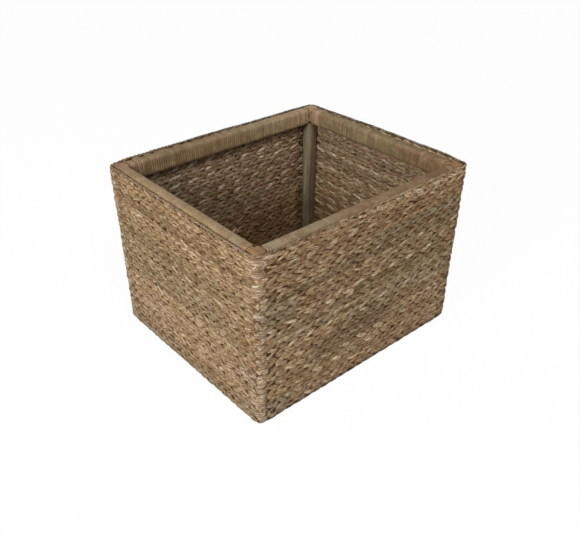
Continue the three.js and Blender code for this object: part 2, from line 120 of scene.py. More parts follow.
def outline_point(distance, inset):
    """Points of the wall's outline at distances along it, drawn in towards the middle by an inset."""
    distance = np.mod(distance, ROUND_LENGTH)
    side = np.clip(np.searchsorted(SIDE_STARTS, distance, side="right") - 1, 0, 3)
    local = distance - SIDE_STARTS[side]
    straight = 2 * STRAIGHTS[side]
    share = np.clip((local - ARC / 2) / straight, 0, 1)
    swing = np.where(local < ARC / 2, local - ARC / 2, np.maximum(local - ARC / 2 - straight, 0))
    angle = swing / CORNER
    radius = np.maximum(CORNER - inset, LEAST_RADIUS)
    drawn = CORNER - inset - radius
    this_half = STRAIGHTS[side] + drawn
    other_half = STRAIGHTS[(side + 1) % 4] + drawn
    along = (2 * share - 1) * this_half + radius * np.sin(angle)
    out = other_half + radius * np.cos(angle)
    return SIDE_ALONG[side] * along[..., None] + SIDE_OUT[side] * out[..., None]


def fading(distance, reach):
    """1 at no distance, down to 0 at the reach."""
    return np.clip(1 - distance / reach, 0, 1)


def from_corner(distance):
    """How far places along the outline are from the nearest corner."""
    return np.abs(np.mod(distance, ROUND_LENGTH)[..., None] - SIDE_STARTS).min(axis=-1)


def wall_point(distance, height, depth):
    """Points on the woven wall. Depth is outwards from its middle. Low heights bend in under the frame."""
    worn = fading(from_corner(distance), FOOT_CORNER) ** FOOT_FALLOFF * fading(height, FOOT_REACH)
    depth = depth + np.interp(height, LEAN_HEIGHTS, LEAN) - FOOT_DRAWN * worn
    swing = np.clip((BEND_HEIGHT - height) / BEND_RADIUS, 0, math.pi / 2)
    run = np.maximum(BEND_HEIGHT - height - BEND_RADIUS * math.pi / 2, 0)
    reach = BEND_RADIUS + depth
    inset = BEND_RADIUS - reach * np.cos(swing) + run
    level = np.where(swing > 0, BEND_HEIGHT - reach * np.sin(swing), height) + FOOT_LIFT * worn
    distance, inset, level = np.broadcast_arrays(distance, inset, level)
    return np.concatenate((outline_point(distance, inset), level[..., None]), axis=-1)


def stake_distance(number):
    """Distance along the outline of a place counted in stakes."""
    rounds = np.floor(number / STAKE_COUNT)
    number = number - rounds * STAKE_COUNT
    side = np.clip(np.searchsorted(STAKE_STARTS, number, side="right") - 1, 0, 3)
    share = (number - STAKE_STARTS[side]) / np.array(STAKES)[side]
    share = share + np.array(SPACING_GROWTH)[side] * share * (share - 1)
    return rounds * ROUND_LENGTH + SIDE_STARTS[side] + share * SIDE_LENGTHS[side]


def linear(red, green, blue):
    """A screen colour, 0 to 255, as the linear light that shaders take."""
    screen = np.array((red, green, blue), float) / 255
    return np.where(screen <= 0.04045, screen / 12.92, ((screen + 0.055) / 1.055) ** 2.4)


class Piece:
    """A piece in the making: bent and dyed copies of stock, side by side in one mesh."""

    def __init__(self, name):
        self.name = name
        self.bm = bmesh.new()
        self.blocks = []

    def add(self, stock, count, shape):
        """Bend copies of a stock mesh. The shape turns their points into places, dyes and fibre places."""
        flat = np.empty(len(stock.vertices) * 3)
        stock.vertices.foreach_get("co", flat)
        copies = np.repeat(flat.reshape(1, -1, 3), count, axis=0)
        places, dyes, fibres = shape(copies)
        stock = facing_out(stock, places[0])
        for _ in range(count):
            self.bm.from_mesh(stock)
        dyes = np.broadcast_to(dyes, places.shape)
        self.blocks.append([part.reshape(-1, 3) for part in (places, dyes, fibres)])

    def finish(self, material, slot, replaces=()):
        mesh = stock_mesh(self.name, self.bm)
        places, dyes, fibres = (np.concatenate(parts) for parts in zip(*self.blocks))
        dyes = np.concatenate((dyes, np.ones((len(dyes), 1))), axis=1)
        mesh.vertices.foreach_set("co", places.ravel())
        mesh.attributes.new("dye", "FLOAT_COLOR", "POINT").data.foreach_set("color", dyes.ravel())
        mesh.attributes.new("fibre", "FLOAT_VECTOR", "POINT").data.foreach_set("vector", fibres.ravel())
        mesh.polygons.foreach_set("use_smooth", [True] * len(mesh.polygons))
        mesh.materials.append(material)
        mesh.update()
        made = placed(self.name, mesh)
        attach(made, "root")
        if replaces:
            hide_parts(*replaces)


def facing_out(stock, places):
    """The stock, with its faces turned round where these places would leave it inside out."""
    bm = bmesh.new()
    bm.from_mesh(stock)
    for vertex, place in zip(bm.verts, places):
        vertex.co = place
    volume = bm.calc_volume(signed=True)
    bm.free()
    if volume > 0:
        return stock
    turned = bmesh.new()
    turned.from_mesh(stock)
    bmesh.ops.reverse_faces(turned, faces=turned.faces)
    return stock_mesh(stock.name + "_turned", turned)


def stock_mesh(name, bm):
    """Keep a bmesh as a mesh to copy from."""
    mesh = bpy.data.meshes.new(name)
    bm.to_mesh(mesh)
    bm.free()
    return mesh


# A stitch's section and outline
PLEATS = 5
PLEAT_DEPTH = 0.2
STITCH_RINGS = 6
STITCH_FULLNESS, STITCH_BLUNTNESS = 2.6, 0.55


def stitch_stock():
    """One stitch: a long pleated leaf from -1 to 1 along X."""
    bm = bmesh.new()
    bmesh.ops.create_uvsphere(bm, u_segments=2 * PLEATS, v_segments=STITCH_RINGS, radius=1.0)
    for vertex in bm.verts:
        length, angle = vertex.co.z, math.atan2(vertex.co.y, vertex.co.x)
        reach = max(1 - abs(length) ** STITCH_FULLNESS, 0) ** STITCH_BLUNTNESS
        reach *= 1 - PLEAT_DEPTH * (0.5 - 0.5 * math.cos(PLEATS * angle))
        vertex.co.xy = reach * math.cos(angle), reach * math.sin(angle)
    bmesh.ops.rotate(bm, verts=bm.verts, matrix=Matrix.Rotation(math.pi / 2, 3, "Y"))
    return stock_mesh("stitch_stock", bm)


def tube(sides, steps, middle, cap_ends=False):
    """An upright tube, 1 high and 1 in radius, with evenly spaced rings and its middle at a height."""
    bm = bmesh.new()
    bmesh.ops.create_cone(bm, cap_ends=cap_ends, segments=sides, radius1=1.0, radius2=1.0, depth=1.0)
    bmesh.ops.translate(bm, verts=bm.verts, vec=(0, 0, middle))
    upright = [e for e in bm.edges if abs(e.verts[0].co.z - e.verts[1].co.z) > 0.5]
    bmesh.ops.subdivide_edges(bm, edges=upright, cuts=steps - 1)
    return bm


def rod_stock(sides, steps):
    """A rod from 0 to 1 along Z and 1 in radius, closed at both ends."""
    return stock_mesh(f"rod_stock_{sides}_{steps}", tube(sides, steps, 0.5, cap_ends=True))


STITCH = stitch_stock()

# Dyes of the dried strands, as screen colours, and how often each is used
STRAND_DYES = (
    (24, (162, 134, 99)), (18, (154, 126, 91)), (13, (148, 119, 85)), (12, (169, 142, 107)),
    (8, (175, 150, 114)), (8, (141, 113, 80)), (5, (154, 131, 98)), (3, (149, 128, 96)),
    (2, (154, 131, 91)), (4, (129, 101, 70)), (3, (188, 165, 128)),
)
FOOT_DYES = ((120, 108, 84), (110, 95, 72), (116, 98, 80), (106, 100, 74), (126, 108, 80))
# The core's dye is painted shade: a dark brown for the shade in the gaps between stitches
GAP_SHADE_DYE, PALE, CORNER_BLEACH = linear(92, 61, 32), linear(206, 184, 150), linear(208, 189, 168)

# A dark shade deepens blue most and red least, so that creases stay a warm brown
DEEPENING = np.array((0.72, 1.0, 1.55))
PALING = np.array((0.93, 1.0, 1.14))

# Bands where the strands were dried darker, greener or redder, by side: the depths below the rim, the reach
# from the side's left end, the dye, and how much of it. Millimetres.
TAN, WARM, RUST = (176, 144, 108), (168, 136, 97), (140, 105, 71)
OLIVE, MOSS, GREY_GREEN = (146, 131, 92), (114, 102, 74), (136, 129, 106)
DARK_OLIVE, DARK_BROWN, ROSE = (112, 94, 60), (110, 84, 58), (164, 134, 110)
GREY, ASH, STRAW = (130, 120, 97), (152, 141, 120), (160, 136, 90)
BLEACHED = (196, 170, 136)
FRONT, RIGHT, BACK, LEFT = range(4)
DYE_BANDS = {
    FRONT: (
        (0, 22, 0, 437, TAN, 0.35), (27, 42, 12, 437, RUST, 0.6), (50, 64, 215, 437, GREY_GREEN, 0.5),
        (58, 74, 0, 150, TAN, 0.3), (74, 86, 10, 437, MOSS, 0.5), (86, 120, 230, 437, OLIVE, 0.3),
        (90, 126, 0, 70, GREY_GREEN, 0.5), (104, 124, 95, 190, ROSE, 0.3),
        (118, 152, 190, 420, DARK_OLIVE, 0.4), (130, 150, 50, 200, DARK_BROWN, 0.35),
        (155, 168, 40, 437, GREY, 0.4), (166, 190, 0, 160, TAN, 0.45), (170, 192, 180, 437, ASH, 0.3),
        (191, 228, 95, 290, DARK_BROWN, 0.55), (196, 228, 330, 437, ROSE, 0.35),
        (226, 264, 85, 200, OLIVE, 0.25), (228, 264, 250, 437, WARM, 0.2),
        (264, 294, 50, 437, ROSE, 0.25), (262, 294, 0, 60, ASH, 0.5),
    ),
    LEFT: (
        (4, 26, 20, 190, WARM, 0.4), (0, 24, 170, 371, TAN, 0.4), (34, 48, 10, 345, RUST, 0.3),
        (58, 78, 30, 371, TAN, 0.45), (78, 98, 20, 371, OLIVE, 0.4), (98, 122, 20, 270, MOSS, 0.3),
        (124, 174, 20, 330, GREY, 0.26), (168, 178, 60, 210, DARK_BROWN, 0.4),
        (178, 192, 70, 371, TAN, 0.4), (180, 300, 0, 371, BLEACHED, 0.3),
        (198, 252, 10, 371, ROSE, 0.35), (236, 262, 140, 240, TAN, 0.4),
        (262, 280, 20, 340, RUST, 0.4), (276, 296, 20, 371, GREY, 0.45),
        (190, 294, 325, 371, ASH, 0.4),
    ),
}
BAND_EDGE = 4.0
BAND_END = 30.0

# Pale strands that show on the outside, by side: depth below the rim, slant, place of the first stitch from
# the side's left end, number of stitches, and how pale. Millimetres.
PALE_STRANDS = {
    FRONT: (
        (126, -1, 27, 5, 0.95), (115, 1, 159, 6, 0.75), (152, 1, 48, 4, 0.6), (168, 1, 31, 7, 0.85),
        (232, -1, 107, 5, 0.75), (251, -1, 110, 5, 0.55), (73, -1, 42, 6, 0.35),
        (24, 1, 60, 4, 0.4), (11, -1, 200, 9, 0.5),
    ),
    LEFT: (
        (183, -1, 115, 6, 0.6), (118, -1, 170, 5, 0.5), (138, 1, 317, 2, 0.6), (66, 1, 75, 6, 0.4),
        (255, -1, 160, 4, 0.35),
    ),
}

# Half rows from the lowest up, two in each course: middle height, height, and slant seen from outside
border_low, border_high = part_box("weave_border")
CORD_HEIGHT = 3.6 * MM
CORD_LOW = border_high.z - CORD_HEIGHT
course_lows = [-TURNED_IN] + [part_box(name)[0].z for name in COURSES[1:]] + [border_low.z]
half_rows = []
for low, high in zip(course_lows, course_lows[1:]):
    for share, slant in ((0.25, -1), (0.75, 1)):
        half_rows.append((low + share * (high - low), (high - low) / 2, slant))
half_rows.append(((border_low.z + CORD_LOW) / 2, CORD_LOW - border_low.z, -1))

# Bands of the sides that face away, drawn between these limits. Millimetres.
FAR_DYES = (TAN, WARM, TAN, ROSE, OLIVE, WARM, RUST, STRAW, GREY, DARK_BROWN)
FAR_LOWEST = 290
FAR_HEIGHTS, FAR_SHARES, FAR_STEPS = (12, 34), (0.2, 0.42), (0.5, 0.9)
FAR_PAST_END, FAR_SHORTEST = 60, 120


def by_side(table):
    """The rows of a table that is sorted by side, each with its side."""
    return [(side, row) for side, rows in table.items() for row in rows]


def far_bands():
    """Bands spread at random over the sides that face away."""
    rng = np.random.default_rng(31)
    bands = []
    for side in (RIGHT, BACK):
        width = SIDE_LENGTHS[side] / MM
        top = 0.0
        while top < FAR_LOWEST:
            height = rng.uniform(*FAR_HEIGHTS)
            first, last = sorted(rng.uniform(-FAR_PAST_END, width + FAR_PAST_END, 2))
            dye = FAR_DYES[rng.integers(len(FAR_DYES))]
            last = max(last, first + FAR_SHORTEST)
            bands.append((side, (top, top + height, first, last, dye, rng.uniform(*FAR_SHARES))))
            top += height * rng.uniform(*FAR_STEPS)
    return bands


# The upper edge of those sides is greyer
FRINGE = (104, 100, 80)
FRINGE_BANDS = {RIGHT: ((-9, 7, -20, 400, FRINGE, 0.7),), BACK: ((-9, 7, -20, 320, FRINGE, 0.6),)}
ALL_BANDS = (*by_side(DYE_BANDS), *far_bands(), *by_side(FRINGE_BANDS))
BAND_PAST_END = 20

# Stems, each a run of stitches
STEM_START, STEM_RUNS = 10, (8, 34)
STEM_SHADES, STEM_GIRTHS = (0.88, 1.1), (0.86, 1.16)


def shaded(dyes, shades):
    """Dyes made darker or paler, each by its own shade."""
    shades = np.asarray(shades)[..., None]
    return dyes * shades ** np.where(shades < 1, DEEPENING, PALING)


def blend(first, second, share):
    """The first with a share of the second."""
    return first * (1 - share) + second * share


def ramp(value, edge):
    """From 0 below zero to 1 above it, over the width of an edge."""
    return np.clip(0.5 + value / edge, 0, 1)


def band_dyed(dyes, middles, depth, shade):
    """Dyes of a half row's stitches after the bands that the row runs through."""
    for side, (top, bottom, first, last, dye, share) in ALL_BANDS:
        reach = (middles - SIDE_STARTS[side]) / MM
        weight = ramp(depth - top, BAND_EDGE) * ramp(bottom - depth, BAND_EDGE)
        weight = weight * ramp(reach - first, BAND_END) * ramp(last - reach, BAND_END)
        on_side = (reach > -BAND_PAST_END) * (reach < SIDE_LENGTHS[side] / MM + BAND_PAST_END)
        dyes = blend(dyes, shaded(linear(*dye), shade), (weight * on_side * share)[:, None])
    return dyes


def drawn_dye(rng, dyes):
    """One of a table's dyes, drawn by its weight."""
    weights = np.array([weight for weight, _ in dyes], float)
    return dyes[rng.choice(len(dyes), p=weights / weights.sum())][1]


def strand_dyes(seed, foot):
    """Dyes and girths of one strand's stitches along a half row: runs of one plant stem after another."""
    rng = np.random.default_rng(seed)
    dyes, girths = np.zeros((STAKE_COUNT, 3)), np.ones(STAKE_COUNT)
    place = -int(rng.integers(0, STEM_START))
    while place < STAKE_COUNT:
        end = place + int(rng.integers(*STEM_RUNS))
        choice = drawn_dye(rng, STRAND_DYES)
        if foot:
            choice = FOOT_DYES[rng.integers(len(FOOT_DYES))]
        dyes[max(place, 0):end] = shaded(linear(*choice), rng.uniform(*STEM_SHADES))
        girths[max(place, 0):end] = rng.uniform(*STEM_GIRTHS)
        place = end
    return dyes, girths


# How a stitch lies in its row, and how proud and thick it is outside and inside
STITCH_OVERLAP, STITCH_RISE, STITCH_FILL = 1.6, 0.36, 0.6
STITCH_TWIST, STITCH_LEAN = 0.5, 0.5
ARCH_FULLNESS = 2.4
OUTER_STITCH = (1.35 * MM, 1.9 * MM)
INNER_STITCH = (1.2 * MM, 1.75 * MM)
GIRTH_RELIEF = 1.6 * MM

# How stitches differ from each other: mean and deviation
CHANCES = {
    "length": (1.0, 0.08), "width": (1.0, 0.1), "rise": (1.0, 0.2),
    "lift": (0.0, 0.42 * MM), "shift": (0.0, 0.95 * MM), "proud": (0.0, 0.16 * MM),
}
CHANCE_OF_TILT = 0.09
CHANCE_OF_SHADE, LEAST_SHADE = 0.12, 0.6

# Painted shade and light of a stitch: painted shade in the furrow between pleats, painted highlight on a
# pleat's ridge, painted shade on its edge and painted light on its face
FURROW_PAINTED_SHADE, RIDGE_PAINTED_HIGHLIGHT = 0.78, 1.1
EDGE_PAINTED_SHADE, FACE_PAINTED_LIGHT = 0.17, 1.265
FACE_FROM, FACE_GAIN = 0.07, 1.48
# How much weaker the stitches' painted shade and light are by the corners and on the left side
PAINTED_SHADE_CALMED_BY_CORNER, PAINTED_SHADE_CALMED_LEFT = 0.45, 0.22
LEFT_MEAN, LEFT_EVENED = linear(160, 134, 101), 0.25

# Outer stitches by the corners are bleached, uneven, loose, short, wide and proud
WORN_REACH = 15 * MM
WORN_SHARE = 0.54
CORNER_REACH = 24 * MM
CORNER_MOTTLE, LEAST_MOTTLE = 0.1, 0.5
CORNER_CHANGES = {"shift": 1.6, "lift": 1.8, "length": -0.16, "width": 0.36}
CORNER_RISE = 1.5
CORNER_PROUD = 0.3 * MM

# Inner stitches are browner, with painted shade that deepens towards the floor and a tone and painted light
# and shade that differ by wall, and hollow beside the posts. On the right side they are longer, and the
# pale slant, a painted highlight, stands proud.
INNER_BROWN, INNER_BROWN_SHARE = linear(150, 126, 104), 0.4
# How pale the painted highlight on the inner stitches of one slant is
INNER_PAINTED_HIGHLIGHT = (0.1, 0.8)
# Painted shade of the inner stitches by depth below the rim in millimetres, then their own tone and painted
# light and shade by wall
INNER_PAINTED_SHADE_BY_DEPTH = (30, 60, 90, 120, 150, 175, 200), (1.1, 1.1, 1.0, 0.88, 0.87, 0.8, 0.64)
INNER_TONES_AND_LIGHT = np.array(((1.1, 1.1, 1.08), (0.94, 0.97, 0.98), (1.11, 1.13, 1.22), (1.1, 1.1, 1.08)))
POST_REACH = 29 * MM
HOLLOW_BY_POST = 2.2 * MM
LONG_CHANGES = {"length": 1.35, "width": 0.86}
LONG_PROUD = 0.35 * MM

# A pale strand is in the half row within this share of its height, and starts this much before its place
PALE_ROW, PALE_BEFORE = 0.9, 4


def add_pale_strands(strands, turn_taken, middles, below_rim, row_height, slant):
    """Bleach the stitches of the pale strands that lie in a half row."""
    for side, (below, pale_slant, first, count, share) in by_side(PALE_STRANDS):
        if pale_slant != slant or abs(below - below_rim) * MM > row_height * PALE_ROW:
            continue
        start = SIDE_STARTS[side] + (first - PALE_BEFORE) * MM
        nearest = int(np.argmin(np.abs(middles - start)))
        for step in range(count):
            stitch = (nearest + 2 * step) % STAKE_COUNT
            strand = strands[turn_taken[stitch]]
            strand[stitch] = blend(strand[stitch], PALE, share)


def worn_dyes(rng, dyes, corner):
    """Dyes of outer stitches, bleached and uneven by the corners."""
    worn = (fading(corner, WORN_REACH) * WORN_SHARE)[:, None]
    mottle = 1 + rng.normal(0, CORNER_MOTTLE, STAKE_COUNT) * fading(corner, CORNER_REACH)
    return shaded(blend(dyes, CORNER_BLEACH, worn), np.maximum(mottle, LEAST_MOTTLE))


def loosen(chances, near):
    """Make outer stitches near a corner looser, shorter, wider and prouder."""
    for kind, change in CORNER_CHANGES.items():
        chances[kind] *= 1 + change * near
    chances["rise"] = 1 + (chances["rise"] - 1) * (1 + CORNER_RISE * near)
    chances["proud"] += CORNER_PROUD * near


def inner_dyes(rng, dyes, chances, chosen, middles, corner, below_rim, slant):
    """Dyes of inner stitches, with painted highlight and painted shade and light, and their longer stitches
    on the right and hollows beside the posts.
    """
    dyes = blend(dyes, INNER_BROWN, INNER_BROWN_SHARE)
    on_side = np.searchsorted(SIDE_STARTS[1:4], middles, side="right")
    on_right = on_side == RIGHT
    # Painted highlight: on each wall one strand of the half rows of one slant is paled, as if its leaves
    # caught the light
    pale_slant = np.where(on_right, -1, 1) == slant
    highlight_share = ((chosen == 0) & pale_slant) * rng.uniform(*INNER_PAINTED_HIGHLIGHT)
    dyes = blend(dyes, PALE, highlight_share[:, None])
    for kind, change in LONG_CHANGES.items():
        chances[kind] *= np.where(on_right, change, 1.0)
    chances["proud"] += LONG_PROUD * (on_right & pale_slant) - HOLLOW_BY_POST * (corner < POST_REACH)
    # Painted light and shade by wall, partly the inside's own tone, and painted shade that deepens towards
    # the floor
    return shaded(dyes * INNER_TONES_AND_LIGHT[on_side], np.interp(below_rim, *INNER_PAINTED_SHADE_BY_DEPTH))


def twined_row(piece, number, height, row_height, slant, place=wall_point):
    """One twined half row: two strands that cross between stakes, outside and inside by turns."""
    rng = np.random.default_rng(1000 + number)
    numbers = np.arange(STAKE_COUNT) + FIRST_STITCH
    middles = stake_distance(numbers)
    spacing = stake_distance(numbers + 0.5) - stake_distance(numbers - 0.5)
    turn_taken = (np.arange(STAKE_COUNT) + int(rng.integers(0, 2))) % 2
    below_rim = (cad_high.z - height) / MM
    strands, girths = [], []
    for strand in (0, 1):
        dyes, girth = strand_dyes(5000 + 10 * number + strand, foot=number < 2)
        shade = np.maximum(rng.normal(1.0, CHANCE_OF_SHADE, STAKE_COUNT), LEAST_SHADE)
        strands.append(band_dyed(shaded(dyes, shade), middles, below_rim, shade))
        girths.append(girth)
    add_pale_strands(strands, turn_taken, middles, below_rim, row_height, slant)
    on_left = middles > SIDE_STARTS[LEFT]
    strands = [blend(dyes, LEFT_MEAN, on_left[:, None] * LEFT_EVENED) for dyes in strands]
    corner = from_corner(middles)
    near = fading(corner, CORNER_REACH)
    for outward, size in ((1, OUTER_STITCH), (-1, INNER_STITCH)):
        chosen = turn_taken if outward > 0 else 1 - turn_taken
        dyes = np.where(chosen[:, None] == 0, *strands)
        if outward > 0:
            dyes = worn_dyes(rng, dyes, corner)
        chances = stitch_chances(rng, STAKE_COUNT)
        girth = np.where(chosen == 0, *girths)
        chances["width"] *= girth
        chances["proud"] += (girth - 1) * GIRTH_RELIEF
        # How fully each stitch takes its painted shade and light
        chances["depth"] = 1 - PAINTED_SHADE_CALMED_BY_CORNER * near - PAINTED_SHADE_CALMED_LEFT * on_left
        if outward > 0:
            loosen(chances, near)
        else:
            dyes = inner_dyes(rng, dyes, chances, chosen, middles, corner, below_rim, slant)
        piece.add(STITCH, STAKE_COUNT, stitch_shape(
            middles, spacing, height, row_height, slant, outward, size, dyes, chances, place
        ))


def stitch_chances(rng, count):
    """How each stitch of a half row differs from its neighbours."""
    chances = {kind: rng.normal(*spread, count) for kind, spread in CHANCES.items()}
    chances["roll"] = rng.uniform(0.0, math.tau / PLEATS, count)
    chances["tilt"] = rng.normal(0.0, CHANCE_OF_TILT, count)
    # How fully a stitch takes its painted shade and light
    chances["depth"] = np.ones(count)
    chances["grain"] = rng.uniform(0, 400, (count, 3))
    return chances


def stitch_shape(middles, spacing, height, row_height, slant, outward, size, dyes, chances, place):
    """How the stitches of a half row lie: across a stake, from one side of the row to the other."""
    proud, thickness = size
    chance = {kind: values[:, None] for kind, values in chances.items()}

    def shape(stock):
        along, first, second = np.moveaxis(stock, -1, 0)
        half_length = spacing[:, None] * STITCH_OVERLAP / 2 * chance["length"]
        half_width = row_height * STITCH_FILL * chance["width"]
        rise = row_height * STITCH_RISE * chance["rise"] * slant * outward
        roll = chance["roll"] + STITCH_TWIST * along * slant * outward
        across = first * np.cos(roll) - second * np.sin(roll)
        out = first * np.sin(roll) + second * np.cos(roll)
        wide = across * half_width - out * thickness * chance["tilt"]
        thick = out * thickness + across * half_width * chance["tilt"]
        lean = rise / half_length * STITCH_LEAN
        distance = middles[:, None] + chance["shift"] + along * half_length - wide * lean
        level = height + chance["lift"] + np.sin(along * math.pi / 2) * rise + wide
        arch = 1 - np.abs(along) ** ARCH_FULLNESS
        depth = outward * ((proud + chance["proud"]) * arch + thick)
        fibre = stock / MM
        fibre[..., 0] *= half_length
        fibre[..., 1:] *= half_width[..., None]
        # Painted shade and light: darker in the furrows and towards the edges where shade falls, lighter on
        # the ridges and the face
        envelope = np.maximum(1 - np.abs(along) ** STITCH_FULLNESS, 1e-4) ** STITCH_BLUNTNESS
        radius = np.hypot(first, second)
        ridge_highlight_share = np.clip(1 - (1 - radius / envelope) / PLEAT_DEPTH, 0, 1)
        shade = FURROW_PAINTED_SHADE + (RIDGE_PAINTED_HIGHLIGHT - FURROW_PAINTED_SHADE) * ridge_highlight_share
        facing = np.clip(FACE_FROM + FACE_GAIN * out, 0, 1)
        shade = shade * (EDGE_PAINTED_SHADE + (FACE_PAINTED_LIGHT - EDGE_PAINTED_SHADE) * facing)
        dye = shaded(dyes[:, None, :], 1 + (shade - 1) * chance["depth"])
        return place(distance, level, depth), dye, fibre + chance["grain"]
    return shape


BACKING_STEPS = 336
BACKING_HALF = 0.35 * MM
OUTER_SKIN = 1.05


def backing_shape(low, high, place=wall_point):
    """The core of a course, of stakes and of strands on their way through the wall, dyed dark brown as
    painted shade for the gaps between stitches.
    """
    def shape(stock):
        x, y, z = np.moveaxis(stock, -1, 0)
        distance = np.mod(np.arctan2(y, x), math.tau) / math.tau * ROUND_LENGTH
        level = low + (z + 0.5) * (high - low)
        depth = np.where(np.hypot(x, y) > 1, BACKING_HALF, -BACKING_HALF)
        fibre = np.stack((level, distance, depth), -1) / MM
        return place(distance, level, depth), GAP_SHADE_DYE, fibre
    return shape


def backing_stock(levels):
    """A ring with two skins, as a tube that is subdivided up its height and given a thickness."""
    bm = tube(BACKING_STEPS, levels, 0.0)
    bmesh.ops.recalc_face_normals(bm, faces=bm.faces)
    bmesh.ops.solidify(bm, geom=bm.faces, thickness=0.1)
    for vertex in bm.verts:
        radius = math.hypot(vertex.co.x, vertex.co.y)
        if abs(radius - 1) < 0.01:
            vertex.co.xy *= OUTER_SKIN / radius
    return stock_mesh(f"backing_stock_{levels}", bm)


# Finishes


class Nodes:
    """The nodes of a material or of the world, with short calls for the kinds that they share."""

    def __init__(self, owner):
        owner.use_nodes = True
        self.tree = owner.node_tree

    def feed(self, socket, value):
        if isinstance(value, bpy.types.NodeSocket):
            self.tree.links.new(value, socket)
        else:
            socket.default_value = value

    def made(self, kind, output, inputs, **settings):
        """An output of a new shader node, whose inputs are fed by their names or numbers."""
        node = self.tree.nodes.new("ShaderNode" + kind)
        for key, value in settings.items():
            setattr(node, key, value)
        for socket, value in inputs.items():
            self.feed(node.inputs[socket], value)
        return node.outputs[output]

    def seen_by_camera(self):
        return self.made("LightPath", "Is Camera Ray", {})

    def spread(self, value, low, high, to_low=0.0, to_high=1.0):
        return self.made("MapRange", "Result", {
            "Value": value, "From Min": low, "From Max": high, "To Min": to_low, "To Max": to_high
        })

    def worked_out(self, operation, *numbers):
        return self.made("Math", "Value", dict(enumerate(numbers)), operation=operation)

    def mix(self, factor, first, second):
        return self.made("Mix", 2, {"Factor": factor, 6: first, 7: second}, data_type="RGBA")


class Finish(Nodes):
    """A material in the making."""

    def __init__(self, name):
        self.material = bpy.data.materials.new(name)
        super().__init__(self.material)
        self.shader = self.tree.nodes["Principled BSDF"]

    def attribute(self, name, output):
        return self.made("Attribute", output, {}, attribute_name=name)

    def object_place(self):
        return self.made("TexCoord", "Object", {})

    def part_of(self, vector, axis):
        return self.made("SeparateXYZ", axis, {0: vector})

    def noise(self, vector, stretch, detail=2.0, roughness=0.55, distortion=0.0):
        place = self.made("Mapping", "Vector", {"Vector": vector, "Scale": stretch})
        return self.made("TexNoise", "Fac", {
            "Vector": place, "Scale": 1.0, "Detail": detail, "Roughness": roughness,
            "Distortion": distortion
        })

    def tinted(self, colour, factor, crease, crest):
        """Colour times a dark warm tint in the creases and a light one on the crests."""
        tint = self.mix(factor, (*crease, 1.0), (*crest, 1.0))
        return self.made("VectorMath", "Vector", {0: colour, 1: tint}, operation="MULTIPLY")

    def scaled(self, colour, *spread):
        """Colour made darker and lighter after a noise or another value."""
        scale = self.spread(*spread)
        return self.made("VectorMath", "Vector", {0: colour, "Scale": scale}, operation="SCALE")

    def stained(self, colour, noise, low, high, share, stain):
        """Colour with up to a share of a stain where the noise is high, or low if the limits are turned."""
        return self.mix(self.spread(noise, low, high, 0.0, share), colour, paint(*stain))

    def bump(self, coarse, fine, fine_share, distance):
        """Relief of a coarse noise and a share of a fine one."""
        height = self.worked_out("ADD", coarse, self.worked_out("MULTIPLY", fine, fine_share))
        relief = {"Height": height, "Distance": distance, "Strength": 1.0}
        self.feed(self.shader.inputs["Normal"], self.made("Bump", "Normal", relief))

    def close(self, colour, roughness, specular):
        surface = {"Base Color": colour, "Roughness": roughness, "Specular IOR Level": specular}
        for socket, value in surface.items():
            self.feed(self.shader.inputs[socket], value)
        return self.material


def paint(red, green, blue):
    """A screen colour, 0 to 255, as a colour socket takes it."""
    return (*linear(red, green, blue).tolist(), 1.0)


# Creases and crests of the dried strands: where in the noise each sets in, and its tint. For the pleats,
# the fine threads and the stained patches.
# The pleats' and threads' tints are partly the strands' own streaks and partly painted shade in the creases
# and painted highlight on the crests
STRAND_TINTS = (
    (0.4, 0.6, (0.62, 0.52, 0.38), (1.22, 1.28, 1.36)),
    (0.38, 0.6, (0.54, 0.44, 0.31), (1.3, 1.39, 1.5)),
    (0.34, 0.66, (0.75, 0.73, 0.72), (1.0, 1.055, 1.2)),
)
FRAYED_FIBRE, DARK_FIBRE = (208, 188, 156), (78, 56, 35)


def strand_finish(name):
    """Dried plant strand: pleats and fine fibres along each stitch, pale fibre ends and stained patches."""
    finish = Finish(name)
    fibre = finish.attribute("fibre", "Vector")
    pleats = finish.noise(fibre, (0.06, 0.56, 0.56), distortion=0.2)
    threads = finish.noise(fibre, (0.14, 0.75, 0.75))
    stains = finish.noise(finish.object_place(), (55, 55, 110), detail=4.0, roughness=0.65)
    flecks = finish.noise(fibre, (0.3, 1.0, 1.0))
    colour = finish.attribute("dye", "Color")
    # Pleats and threads: partly own streaks, partly painted crease shade and crest highlight. Then the
    # strands' own stains
    for noise, (low, high, *tints) in zip((pleats, threads, stains), STRAND_TINTS):
        colour = finish.tinted(colour, finish.spread(noise, low, high), *tints)
    colour = finish.stained(colour, flecks, 0.6, 0.7, 0.5, FRAYED_FIBRE)
    colour = finish.stained(colour, flecks, 0.42, 0.32, 0.7, DARK_FIBRE)
    finish.bump(pleats, threads, 0.35, 1.5 * MM)
    return finish.close(colour, finish.spread(threads, 0.3, 0.7, 0.6, 0.85), 0.25)


RUBBED_PEEL, SOILED_PEEL = (186, 164, 128), (104, 84, 56)


